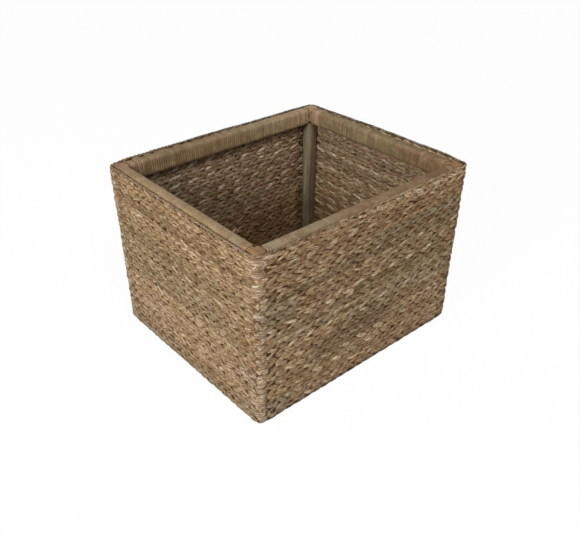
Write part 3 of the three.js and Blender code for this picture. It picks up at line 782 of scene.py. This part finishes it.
def peel_finish(name):
    """Rattan peel: a hard smooth skin with fine lines along the strip, nodes across it and worn places."""
    finish = Finish(name)
    fibre = finish.attribute("fibre", "Vector")
    lines = finish.noise(fibre, (0.03, 2.4, 2.4), detail=3.0)
    nodes = finish.noise(fibre, (0.22, 0.08, 0.08))
    wear = finish.noise(finish.object_place(), (70, 70, 70), detail=4.0, roughness=0.6)
    colour = finish.scaled(finish.attribute("dye", "Color"), lines, 0.34, 0.66, 0.78, 1.2)
    colour = finish.scaled(colour, nodes, 0.3, 0.7, 0.84, 1.12)
    colour = finish.stained(colour, wear, 0.52, 0.7, 0.45, RUBBED_PEEL)
    colour = finish.stained(colour, wear, 0.46, 0.3, 0.4, SOILED_PEEL)
    finish.bump(lines, wear, 0.5, 0.4 * MM)
    return finish.close(colour, finish.spread(lines, 0.3, 0.7, 0.42, 0.62), 0.4)


# Wood: how fine its grain is, and the posts' painted shade: side faces browner and darker, and darker feet
GRAIN_ALONG, GRAIN_ACROSS = 7.0, 120.0
PATCH_ALONG, PATCH_ACROSS = 18.0, 40.0
GREYED_WOOD = (112, 106, 88)
POST_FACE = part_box("post_back_right")[0].x + 0.3 * MM
POST_EDGE = 0.6 * MM
POST_SIDE_SHADE_TINT = (1.02, 0.87, 0.8)
POST_FOOT, POST_LIT, FOOT_PAINTED_SHADE, TOP_PAINTED_SHADE = 0.11, 0.25, 0.62, 0.94


def wood_finish(name, light, dark, grain_axis, weathering, side_and_foot_shade):
    """Bare sawn wood: growth lines and pores along the grain, grey patches, and on the posts painted shade
    that makes the side faces browner and darker and the feet darker.
    """
    finish = Finish(name)
    place = finish.object_place()

    def grain(along, across, **kind):
        return finish.noise(place, [along if axis == grain_axis else across for axis in range(3)], **kind)

    growth = grain(GRAIN_ALONG, GRAIN_ACROSS, detail=4.0, distortion=0.5)
    pores = grain(8 * GRAIN_ALONG, 9 * GRAIN_ACROSS)
    patches = grain(PATCH_ALONG, PATCH_ACROSS, detail=4.0, roughness=0.6)
    colour = finish.mix(finish.spread(growth, 0.38, 0.62), paint(*dark), paint(*light))
    colour = finish.scaled(colour, pores, 0.35, 0.62, 0.76, 1.1)
    colour = finish.stained(colour, patches, 0.5, 0.7, weathering, GREYED_WOOD)
    if side_and_foot_shade:
        # Painted shade: the side faces browner and darker, and the wood darker towards the feet
        from_middle = finish.worked_out("ABSOLUTE", finish.part_of(place, "X"))
        on_side = finish.spread(from_middle, POST_FACE, POST_FACE + POST_EDGE, 0.0, side_and_foot_shade)
        colour = finish.tinted(colour, on_side, (1.0, 1.0, 1.0), POST_SIDE_SHADE_TINT)
        height = finish.part_of(place, "Z")
        colour = finish.scaled(colour, height, POST_FOOT, POST_LIT, FOOT_PAINTED_SHADE, TOP_PAINTED_SHADE)
    finish.bump(growth, pores, 0.4, 0.7 * MM)
    return finish.close(colour, finish.spread(growth, 0.3, 0.7, 0.86, 0.66), 0.25)


# The twined courses, from the bottom up
LOWEST_LEVELS = 12
hyacinth = strand_finish("dried_hyacinth")
for index, name in enumerate(COURSES):
    piece = Piece(name.replace("weave", "twined"))
    core = backing_stock(2 if index else LOWEST_LEVELS)
    piece.add(core, 1, backing_shape(*course_lows[index:index + 2]))
    for number in (2 * index, 2 * index + 1):
        twined_row(piece, number, *half_rows[number])
    piece.finish(hyacinth, "hyacinth", [name])

# Closing row and border cord
CORD_TURNS, CORD_STEPS, CORD_SIDES = 108, 8, 6
CORD_STRAND = 1.35 * MM
CORD_SWELL, CORD_SWELLS = 0.12, 410
CORD_SWING = 0.75 * MM
CORD_SWING_OUT = 1.3
CORD_MIDDLE = (CORD_LOW + border_high.z) / 2 + 0.6 * MM
CORD_OUT = 0.4 * MM
CORD_STEMS, FAR_CORD_STEMS = 40, 240
CORD_DYES = ((166, 140, 110), (154, 128, 98), (176, 150, 118), (142, 116, 88), (156, 138, 108))
FAR_CORD_DYES = ((96, 94, 74), (168, 160, 140), (84, 80, 60), (134, 124, 98), (118, 118, 102))
FAR_CORD_SHARE = 0.8
CORD_LIT, CORD_LIT_FROM, CORD_LIT_OVER = 0.35, 150 * MM, 100 * MM
PALE_END = 120 * MM

# How the border rises and falls: shares of each side's length, and millimetres there. Then its ripples,
# their height and length in millimetres.
RIM_HEIGHTS = {
    FRONT: ((0.0, 1.3), (0.06, 0.4), (0.45, 0.6), (0.8, 2.6), (0.95, 2.6), (0.99, 1.0)),
    RIGHT: ((0.03, 1.2), (0.11, 4.4), (0.5, 3.8), (0.85, 1.0)),
    BACK: ((0.0, -0.8), (0.2, 0.4), (0.5, 1.8), (0.8, 2.6), (0.93, 2.0), (0.985, 0.0)),
    LEFT: ((0.0, -1.0), (0.05, 0.2), (0.5, -0.3), (0.94, 0.2), (1.0, 1.3)),
}
RIM_PLACES = [SIDE_STARTS[side] + share * SIDE_LENGTHS[side] for side, (share, _) in by_side(RIM_HEIGHTS)]
RIM_LEVELS = [level * MM for _, (_, level) in by_side(RIM_HEIGHTS)]
RIM_RIPPLES = ((0.3, 31), (0.2, 11))


def rim_point(distance, height, depth):
    """Points of the closing row and border, which rise and fall along the rim."""
    risen = np.clip((height - border_low.z) / (CORD_LOW - border_low.z), 0, 1)
    ripple = sum(high * MM * np.sin(distance / (long * MM)) for high, long in RIM_RIPPLES)
    rim = np.interp(np.mod(distance, ROUND_LENGTH), RIM_PLACES, RIM_LEVELS) + ripple
    return wall_point(distance, height + rim * risen, depth)


def stems(rng, dyes, count):
    """Dyes of the stems that follow each other along a strand of the cord, by the share of its length."""
    chosen = np.array([linear(*dyes[k]) for k in rng.integers(0, len(dyes), count)])
    return lambda share: chosen[np.minimum((share * count).astype(int), count - 1)]


def cord_shape(strand):
    """One of the cord's two strands, wound round the other."""
    rng = np.random.default_rng(77 + strand)
    near_stems = stems(rng, CORD_DYES, CORD_STEMS)
    far_stems = stems(rng, FAR_CORD_DYES, FAR_CORD_STEMS)

    def shape(stock):
        x, y, share = np.moveaxis(stock, -1, 0)
        angle = np.arctan2(y, x)
        turn = share * CORD_TURNS * math.tau + strand * math.pi
        distance = share * ROUND_LENGTH
        reach = CORD_STRAND * (1 + CORD_SWELL * np.sin(share * CORD_SWELLS + strand))
        level = CORD_MIDDLE + CORD_SWING * np.sin(turn) + reach * np.sin(angle)
        depth = CORD_OUT + CORD_SWING * np.cos(turn) * CORD_SWING_OUT + reach * np.cos(angle)
        lit = np.clip((distance - CORD_LIT_FROM) / CORD_LIT_OVER, 0, 1) * (distance < SIDE_STARTS[RIGHT])
        dye = near_stems(share) * (1 + CORD_LIT * lit[..., None])
        far = (distance > SIDE_STARTS[RIGHT]) & (distance < SIDE_STARTS[LEFT] - PALE_END)
        dye = blend(dye, far_stems(share), far[..., None] * FAR_CORD_SHARE)
        fibre = np.stack((distance / MM, np.cos(angle) * 2, np.sin(angle) * 2 + 9 * strand), -1)
        return rim_point(distance, level, depth), dye, fibre
    return shape


border = Piece("closing_border")
border.add(backing_stock(2), 1, backing_shape(border_low.z, CORD_MIDDLE, rim_point))
twined_row(border, len(half_rows) - 1, *half_rows[-1], rim_point)
cord_stock = rod_stock(CORD_SIDES, CORD_TURNS * CORD_STEPS)
for strand in (0, 1):
    border.add(cord_stock, 1, cord_shape(strand))
border.finish(strand_finish("border_strands"), "border_cord", ["weave_border"])

# Peel wound round the top rails and the corners
PEEL_WIDTH = 4.15 * MM
PEEL_WIDTHS = (0.86, 1.14)
PEEL_HALF_THICKNESS = 0.17 * MM
PEEL_COVER = 0.53
PEEL_DEEPEST = 1.45
PEEL_FLATNESS = 0.32
PEEL_STEPS, PEEL_SIDES = 28, 6
PEEL_LIFT = 0.05
PEEL_EDGE, PEEL_FACE_SHADE = 0.9, 1.03
PEEL_RUNS = (1, 9)
PEEL_UNEVENNESS = 0.1
# Where round the section the seam's painted shade sets in, and over how much it deepens
SEAM_SHADE_FROM, SEAM_SHADE_OVER = 0.9, 0.08
JOINT_WIDTH = 0.8
RAIL_ROUNDING = 5.5 * MM
CORNER_ROUNDING = 4.0 * MM
PEEL_DYES = (
    (10, (156, 134, 102)), (8, (146, 125, 93)), (6, (140, 122, 87)), (6, (151, 126, 97)),
    (4, (164, 144, 113)), (3, (134, 110, 80)), (2, (146, 132, 103)),
)
ORANGE, HONEY, MAUVE = (154, 116, 80), (173, 144, 108), (156, 124, 100)
BROWN, BARK, UMBER = (132, 98, 66), (130, 99, 68), (118, 88, 60)
SAND, HAY, OCHRE = (154, 141, 114), (163, 146, 110), (152, 130, 88)
CREAM, BLUSH, FAWN = (186, 158, 124), (184, 150, 118), (176, 148, 116)
DUSK = (126, 106, 76)

# The four wound rails: the axis they run on, which way is out, how deep the painted shade of the seam on
# the outer side is, how pale the strip's edges are, where the strip is darker or paler, and where one
# length of peel ends and the next begins.
# Millimetres from the rail's lower end on its axis.
RAILS = {
    "front": (0, -1, 0.1, 0.95, (
        (0, 437, BROWN, 0.2), (0, 26, SAND, 0.55), (26, 48, BARK, 0.25),
        (62, 150, MAUVE, 0.3), (72, 125, SAND, 0.4), (150, 300, BROWN, 0.55),
        (300, 322, BROWN, 0.8), (322, 372, UMBER, 0.8), (372, 386, MAUVE, 0.8),
    ), (62, 106, 170, 174)),
    "back": (0, 1, 0.7, 0.45, (
        (0, 20, MAUVE, 0.7), (20, 437, HAY, 0.35), (20, 180, BARK, 0.55),
        (180, 245, BARK, 0.4), (300, 350, HONEY, 0.4), (350, 437, CREAM, 0.7),
    ), (118, 250, 331)),
    "left": (1, -1, 0.6, 0.75, (
        (0, 372, HONEY, 0.5), (0, 12, ORANGE, 0.6), (12, 50, SAND, 0.3),
        (12, 50, BARK, 0.2), (74, 150, OCHRE, 0.5), (266, 321, BROWN, 0.3),
    ), (12, 266)),
    "right": (1, 1, 0.7, 0.4, (
        (0, 90, BARK, 0.8), (80, 372, DUSK, 0.45), (180, 240, HAY, 0.2),
        (294, 321, BLUSH, 0.6),
    ), (95, 204, 290)),
}


def rounded_loop(share, half_wide, half_high, rounding):
    """Points and outward directions round a bar's rounded section."""
    flats = 2 * (np.array([half_high, half_wide, half_high, half_wide]) - rounding)
    starts = np.concatenate(([0.0], np.cumsum(flats + rounding * math.pi / 2)))
    gone = np.mod(share, 1.0) * starts[-1]
    side = np.clip(np.searchsorted(starts, gone, side="right") - 1, 0, 3)
    past = gone - starts[side] - flats[side]
    facing = side * math.pi / 2 + np.maximum(past, 0) / rounding
    left = np.maximum(-past, 0)
    wide = np.array([1, -1, -1, 1])[side] * (half_wide - rounding) + rounding * np.cos(facing)
    high = np.array([1, 1, -1, -1])[side] * (half_high - rounding) + rounding * np.sin(facing)
    wide = wide + np.sin(side * math.pi / 2) * left
    high = high - np.cos(side * math.pi / 2) * left
    return wide, high, np.cos(facing), np.sin(facing), starts[-1]


def flattened(wave):
    """A wave with a flat top, which makes a flat strip of a rod."""
    return np.sign(wave) * np.abs(wave) ** PEEL_FLATNESS


def wound_strip(piece, axis, out_sign, low, high, turns, rounding, dyes, joints, seam_shade, groove, seed):
    """One flat strip wound round a bar in touching turns, with painted shade of the seam on its outer side.
    """
    rng = np.random.default_rng(seed)
    centre = (low + high) / 2
    across_axis = 1 - axis
    half_wide = (high[across_axis] - low[across_axis]) / 2
    half_high = (high.z - low.z) / 2
    widths = rng.uniform(*PEEL_WIDTHS, turns + 1)
    edges = np.concatenate(([0.0], np.cumsum(widths))) / widths.sum() * (high[axis] - low[axis])
    middles = (edges[1:] + edges[:-1]) / 2 + low[axis]
    halves = np.diff(edges) * PEEL_COVER
    for joint in joints:
        halves[np.argmin(np.abs(middles - low[axis] - joint * MM))] *= JOINT_WIDTH
    ribs = PEEL_DEEPEST - groove
    relief = PEEL_HALF_THICKNESS * ribs ** 2
    lifts = rng.normal(0.0, PEEL_LIFT, turns + 1) * ribs * MM
    grains = rng.uniform(0, 300, turns + 1)
    edge_shades = rng.uniform(groove, 1.0, turns + 1)

    def shape(stock):
        turn = stock[..., 2] * turns
        angle = np.arctan2(stock[..., 1], stock[..., 0])
        counts = np.arange(turns + 1)
        middle, half, lift = (np.interp(turn, counts, values) for values in (middles, halves, lifts))
        wide, level, out_wide, out_level, around = rounded_loop(turn, half_wide, half_high, rounding)
        raised = relief * (flattened(np.sin(angle)) - 1) + lift
        sideways = flattened(np.cos(angle)) * half
        places = np.empty(stock.shape)
        places[..., axis] = middle + sideways
        places[..., across_axis] = centre[across_axis] + out_sign * (wide + out_wide * raised)
        places[..., 2] = centre.z + (level + out_level * raised)
        whole = np.minimum(turn.astype(int), turns)
        fibre = np.stack((turn * around / MM, sideways / MM + grains[whole], raised / MM), -1)
        # Painted shade of the seam between the rail's outer side and the weave
        seam_shade_share = seam_shade * np.clip((out_wide - SEAM_SHADE_FROM) / SEAM_SHADE_OVER, 0, 1)
        shade = np.where(np.abs(np.cos(angle)) > PEEL_EDGE, edge_shades[whole], PEEL_FACE_SHADE)
        return places, shaded(dyes[whole], shade * (1 - seam_shade_share)), fibre

    piece.add(rod_stock(PEEL_SIDES, turns * PEEL_STEPS), 1, shape)


def peel_dyes(rng, turns, length, zones, unevenness):
    """Dyes of a rail's turns: runs of one strip after another, then the darker and paler stretches."""
    dyes = np.zeros((turns + 1, 3))
    place = 0
    while place <= turns:
        run = int(rng.integers(*PEEL_RUNS))
        dyes[place:place + run] = linear(*drawn_dye(rng, PEEL_DYES))
        place += run
    at = (np.arange(turns + 1) + 0.5) / (turns + 1) * length / MM
    for first, last, dye, share in zones:
        inside = (at >= first) & (at < last)
        dyes[inside] = blend(dyes[inside], linear(*dye), share)
    return dyes * rng.normal(1.0, unevenness, (turns + 1, 1))


peel = peel_finish("rattan_peel")
for seed, (name, (axis, out_sign, seam_shade, groove, zones, joints)) in enumerate(RAILS.items()):
    low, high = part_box(f"rail_winding_{name}")
    length = high[axis] - low[axis]
    turns = round(length / PEEL_WIDTH) - 1
    unevenness = PEEL_UNEVENNESS * (PEEL_DEEPEST - groove)
    dyes = peel_dyes(np.random.default_rng(seed + 60), turns, length, zones, unevenness)
    piece = Piece(f"wound_peel_{name}")
    wound_strip(
        piece, axis, out_sign, low, high, turns, RAIL_ROUNDING, dyes, joints, seam_shade, groove, seed + 70
    )
    piece.finish(peel, "rattan_peel", [f"rail_winding_{name}"])

CORNER_DYES = {
    "front_left": ORANGE, "front_right": ORANGE, "back_left": MAUVE, "back_right": FAWN
}
CORNER_TURNS = 7
# The corners' painted seam shade, and how pale their strips' edges are
CORNER_SEAM_SHADE, CORNER_GROOVE = 0.1, 0.85
CORNER_UNEVENNESS = 0.06
CORNER_SPREAD = 0.7 * MM
CORNER_FILL = 1.1 * MM * np.array((0.3, 1, 1))
# The block under a corner's peel takes the corner's dye darkened, painted shade for the gaps between its
# turns
FILLING_PAINTED_SHADE, FILLING_BEVEL = 0.6, 0.25


def filling_stock():
    """A cube with its long edges rounded, for the block under a corner's peel."""
    bm = bmesh.new()
    bmesh.ops.create_cube(bm, size=2.0)
    edges = [e for e in bm.edges if abs(e.verts[0].co.x - e.verts[1].co.x) > 1]
    bmesh.ops.bevel(
        bm, geom=edges, offset=FILLING_BEVEL, affect="EDGES", segments=3, profile=0.5, material=-1
    )
    return stock_mesh("corner_filling", bm)


def filling_shape(low, high, dye):
    reach = np.array((high - low) / 2) - CORNER_FILL

    def shape(stock):
        places = np.array((low + high) / 2) + stock * reach
        return places, dye, places / MM
    return shape


corner_peel = peel_finish("corner_peel")
filling = filling_stock()
for seed, name in enumerate(sorted(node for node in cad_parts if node.startswith("corner_binding_"))):
    low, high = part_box(name)
    low.x, high.x = low.x - CORNER_SPREAD, high.x + CORNER_SPREAD
    rng = np.random.default_rng(seed + 80)
    base_dye = linear(*CORNER_DYES[name.removeprefix("corner_binding_")])
    dyes = base_dye * rng.normal(1.0, CORNER_UNEVENNESS, (CORNER_TURNS + 1, 1))
    piece = Piece(name.replace("binding", "patch"))
    wound_strip(
        piece, 0, math.copysign(1, low.y + high.y), low, high, CORNER_TURNS, CORNER_ROUNDING, dyes, (),
        CORNER_SEAM_SHADE, CORNER_GROOVE, seed + 90
    )
    # The block's dye is darkened as painted shade between the turns
    piece.add(filling, 1, filling_shape(low, high, base_dye * FILLING_PAINTED_SHADE))
    piece.finish(corner_peel, "corner_peel", [name])

# Floor mat of the same twined strands, on a slab that is notched round the posts
MAT_ROW = 9.0 * MM
MAT_STAKE = 20.0 * MM
MAT_STITCH = (0.95 * MM, 1.6 * MM)
MAT_CORE = 1.2 * MM
MAT_CLEARANCE = 1.0 * MM
MAT_SHADES = (0.92, 0.1)
mat_low, mat_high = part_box("base_mat")
mat_middle = (mat_low.z + mat_high.z) / 2
notch_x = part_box("rail_winding_front")[1].x
notch_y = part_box("rail_winding_left")[1].y


def on_the_mat(distance, level, depth):
    distance, level, depth = np.broadcast_arrays(distance, level, depth)
    return np.stack((distance, level, mat_middle + depth), -1)


def mat_slab():
    """The mat's flat core: one corner's outline, mirrored twice, filled and given its thickness."""
    x, y = mat_high.x - MAT_CLEARANCE, mat_high.y - MAT_CLEARANCE
    near_x, near_y = notch_x - MAT_CLEARANCE, notch_y - MAT_CLEARANCE
    corner = [(x, near_y), (near_x, near_y), (near_x, y)]
    quarter = [(corner, 1, 1), (corner[::-1], -1, 1), (corner, -1, -1), (corner[::-1], 1, -1)]
    outline = [(px * sx, py * sy) for points, sx, sy in quarter for px, py in points]
    bm = bmesh.new()
    face = bm.faces.new([bm.verts.new((px, py, -MAT_CORE / 2)) for px, py in outline])
    risen = bmesh.ops.extrude_face_region(bm, geom=[face])["geom"]
    points = [v for v in risen if isinstance(v, bmesh.types.BMVert)]
    bmesh.ops.translate(bm, verts=points, vec=(0, 0, MAT_CORE))
    bmesh.ops.recalc_face_normals(bm, faces=bm.faces)
    return stock_mesh("mat_slab", bm)


mat = Piece("twined_floor_mat")
# The mat's slab takes the core's dark dye, painted shade for the gaps between its stitches
mat.add(mat_slab(), 1, lambda stock: (stock + (0, 0, mat_middle), GAP_SHADE_DYE, stock / MM))
mat_rows = int(2 * (mat_high.y - MAT_CLEARANCE) / MAT_ROW)
for row in range(mat_rows):
    rng = np.random.default_rng(7000 + row)
    level = (row + 0.5 - mat_rows / 2) * MAT_ROW
    half = (notch_x if abs(level) > notch_y - MAT_ROW else mat_high.x) - MAT_CLEARANCE
    stitches = int(2 * half / MAT_STAKE)
    middles = (np.arange(stitches) - (stitches - 1) / 2) * MAT_STAKE
    spacing = np.full(stitches, MAT_STAKE)
    dyes = strand_dyes(7500 + row, foot=False)[0][:stitches] * rng.normal(*MAT_SHADES, (stitches, 1))
    slant = 1 if row % 2 else -1
    for outward in (1, -1):
        mat.add(STITCH, stitches, stitch_shape(
            middles, spacing, level, MAT_ROW, slant, outward, MAT_STITCH, dyes,
            stitch_chances(rng, stitches), on_the_mat
        ))
mat.finish(strand_finish("mat_strands"), "mat_weave", ["base_mat"])

# Stray fibres along the weave, and the end of a strand left standing on the left rail. The ranges are in
# millimetres.
HAIR_SIDES, HAIR_STEPS, HAIR_COUNT = 3, 6, 90
HAIR_RADIUS = 0.17 * MM
HAIR_HEIGHTS, HAIR_LENGTHS, HAIR_BOWS = (20, 290), (6, 15), (0.8, 2.6)
HAIR_TILT = 0.5
HAIR_OUT = 2.0 * MM
HAIR_DYE = linear(206, 186, 150)
TUFT_PLACE = Vector((-194.6, -109.0, 296.5)) * MM
TUFT_COUNT, TUFT_GIRTH, TUFT_LENGTHS = 9, 2.6, (6, 13)
TUFT_LEAN, TUFT_FOOT = 0.45, 1.0
TUFT_INWARD, TUFT_RISE, TUFT_DROOP = 0.75, 0.45, 0.35


def hair_shape(rng, count):
    """Fibres that leave the weave, run along it in an arc, and end on it."""
    starts = rng.uniform(0, ROUND_LENGTH, (count, 1))
    heights = rng.uniform(*HAIR_HEIGHTS, (count, 1)) * MM
    headings = rng.normal(0, HAIR_TILT, (count, 1)) + math.pi * rng.integers(0, 2, (count, 1))
    lengths = rng.uniform(*HAIR_LENGTHS, (count, 1)) * MM
    bows = rng.uniform(*HAIR_BOWS, (count, 1)) * MM

    def shape(stock):
        share = stock[..., 2]
        thick = stock * HAIR_RADIUS
        run = share * lengths
        distance = starts + np.cos(headings) * run + thick[..., 0]
        height = heights + np.sin(headings) * run + bows * share ** 2 + thick[..., 1]
        depth = HAIR_OUT + bows * np.sin(share * math.pi)
        fibre = np.stack((run, thick[..., 0], depth), -1) / MM
        return wall_point(distance, height, depth), HAIR_DYE, fibre
    return shape


def tuft_shape(rng, count):
    """Fibres that stand on one place of the rail, lean apart and droop inwards."""
    leans = rng.normal(0.0, TUFT_LEAN, (count, 1))
    lengths = rng.uniform(*TUFT_LENGTHS, (count, 1)) * MM
    feet = rng.normal(0, TUFT_FOOT, (count, 1)) * MM

    def shape(stock):
        share = stock[..., 2]
        thick = stock * HAIR_RADIUS * TUFT_GIRTH
        x = TUFT_PLACE.x + share * lengths * TUFT_INWARD + thick[..., 0]
        y = TUFT_PLACE.y + feet + np.sin(leans) * share * lengths + thick[..., 1]
        z = TUFT_PLACE.z + share * lengths * TUFT_RISE - share ** 2 * lengths * TUFT_DROOP
        return np.stack((x, y, z), -1), HAIR_DYE, np.stack((share * 10, x * 0, y * 0), -1)
    return shape


hairs = Piece("stray_fibres")
hair = rod_stock(HAIR_SIDES, HAIR_STEPS)
hairs.add(hair, HAIR_COUNT, hair_shape(np.random.default_rng(9), HAIR_COUNT))
hairs.add(hair, TUFT_COUNT, tuft_shape(np.random.default_rng(10), TUFT_COUNT))
hairs.finish(hyacinth, "hyacinth")

# Woods of the imported nodes: light and dark dye, grain axis, how grey it is, how much painted shade the
# side faces get, which also brings the darker feet, and the nodes
RAIL_WOOD = ((188, 160, 120), (150, 120, 84))
BASE_WOOD = ((172, 146, 110), (136, 110, 78))
WOODS = (
    ("weathered_and_shaded_post_wood", (160, 150, 124), (122, 111, 88), 2, 0.85, 1.0, ("post_",)),
    ("rail_wood_lengthwise", *RAIL_WOOD, 0, 0.2, 0.0, ("top_rail_",)),
    ("rail_wood_left", *RAIL_WOOD, 1, 0.2, 0.0, ("top_rail_left",)),
    ("rail_wood_right", *RAIL_WOOD, 1, 0.2, 0.0, ("top_rail_right",)),
    ("base_wood_lengthwise", *BASE_WOOD, 0, 0.4, 0.0, ("base_rail_",)),
    ("base_wood_crosswise", *BASE_WOOD, 1, 0.4, 0.0, ("base_rail_left", "base_rail_right", "base_slat")),
    ("peg_wood", (204, 178, 134), (170, 142, 100), 2, 0.1, 0.0, ("peg_",)),
)
for *wood, beginnings in WOODS:
    material = wood_finish(*wood)
    for name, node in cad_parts.items():
        if name.startswith(beginnings):
            for slot in node.material_slots:
                slot.material = material

# Floor and light
PALE_FLOOR = (0.86, 0.855, 0.84, 1.0)
FLOOR_SIZE = 12.0
FLOOR_GLOW = 0.96
AMBIENT = 0.43
AMBIENT_HUE, WHITE = (1.0, 0.99, 0.97, 1.0), (1.0, 1.0, 1.0, 1.0)
LAMP_HUE = (1.0, 0.97, 0.93)
LAMP_AIM = Vector((0, 0, 0.15))


def floor_material():
    """A pale floor with the basket's shadow, which the camera sees nearly white."""
    finish = Finish("pale_floor")
    finish.close(PALE_FLOOR, 0.9, 0.5)
    glow = finish.made("Emission", "Emission", {"Strength": 1.0})
    share = finish.worked_out("MULTIPLY", finish.seen_by_camera(), FLOOR_GLOW)
    shades = {"Fac": share, 1: finish.shader.outputs["BSDF"], 2: glow}
    surface = finish.made("MixShader", "Shader", shades)
    finish.feed(finish.tree.nodes["Material Output"].inputs["Surface"], surface)
    return finish.material


bm = bmesh.new()
bmesh.ops.create_grid(bm, x_segments=1, y_segments=1, size=FLOOR_SIZE)
floor = placed("floor", stock_mesh("floor", bm))
floor.data.materials.append(floor_material())

world = bpy.data.worlds.new("studio")
scene.world = world
studio = Nodes(world)
light = studio.tree.nodes["Background"]
studio.feed(light.inputs["Strength"], studio.spread(studio.seen_by_camera(), 0.0, 1.0, AMBIENT, 1.0))
studio.feed(light.inputs["Color"], studio.mix(studio.seen_by_camera(), AMBIENT_HUE, WHITE))


def soft_light(name, place, size, power):
    lamp = bpy.data.lights.new(name, "AREA")
    lamp.shape = "DISK"
    lamp.size = size
    lamp.energy = power
    lamp.color = LAMP_HUE
    made = placed(name, lamp)
    made.location = place
    made.rotation_mode = "QUATERNION"
    made.rotation_quaternion = (LAMP_AIM - Vector(place)).to_track_quat("-Z", "Y")


soft_light("key_light", (-2.6, -0.7, 1.7), 0.9, 58.0)
soft_light("fill_light", (-0.7, -2.1, 2.9), 0.6, 24.5)

scene.view_settings.view_transform = "Standard"
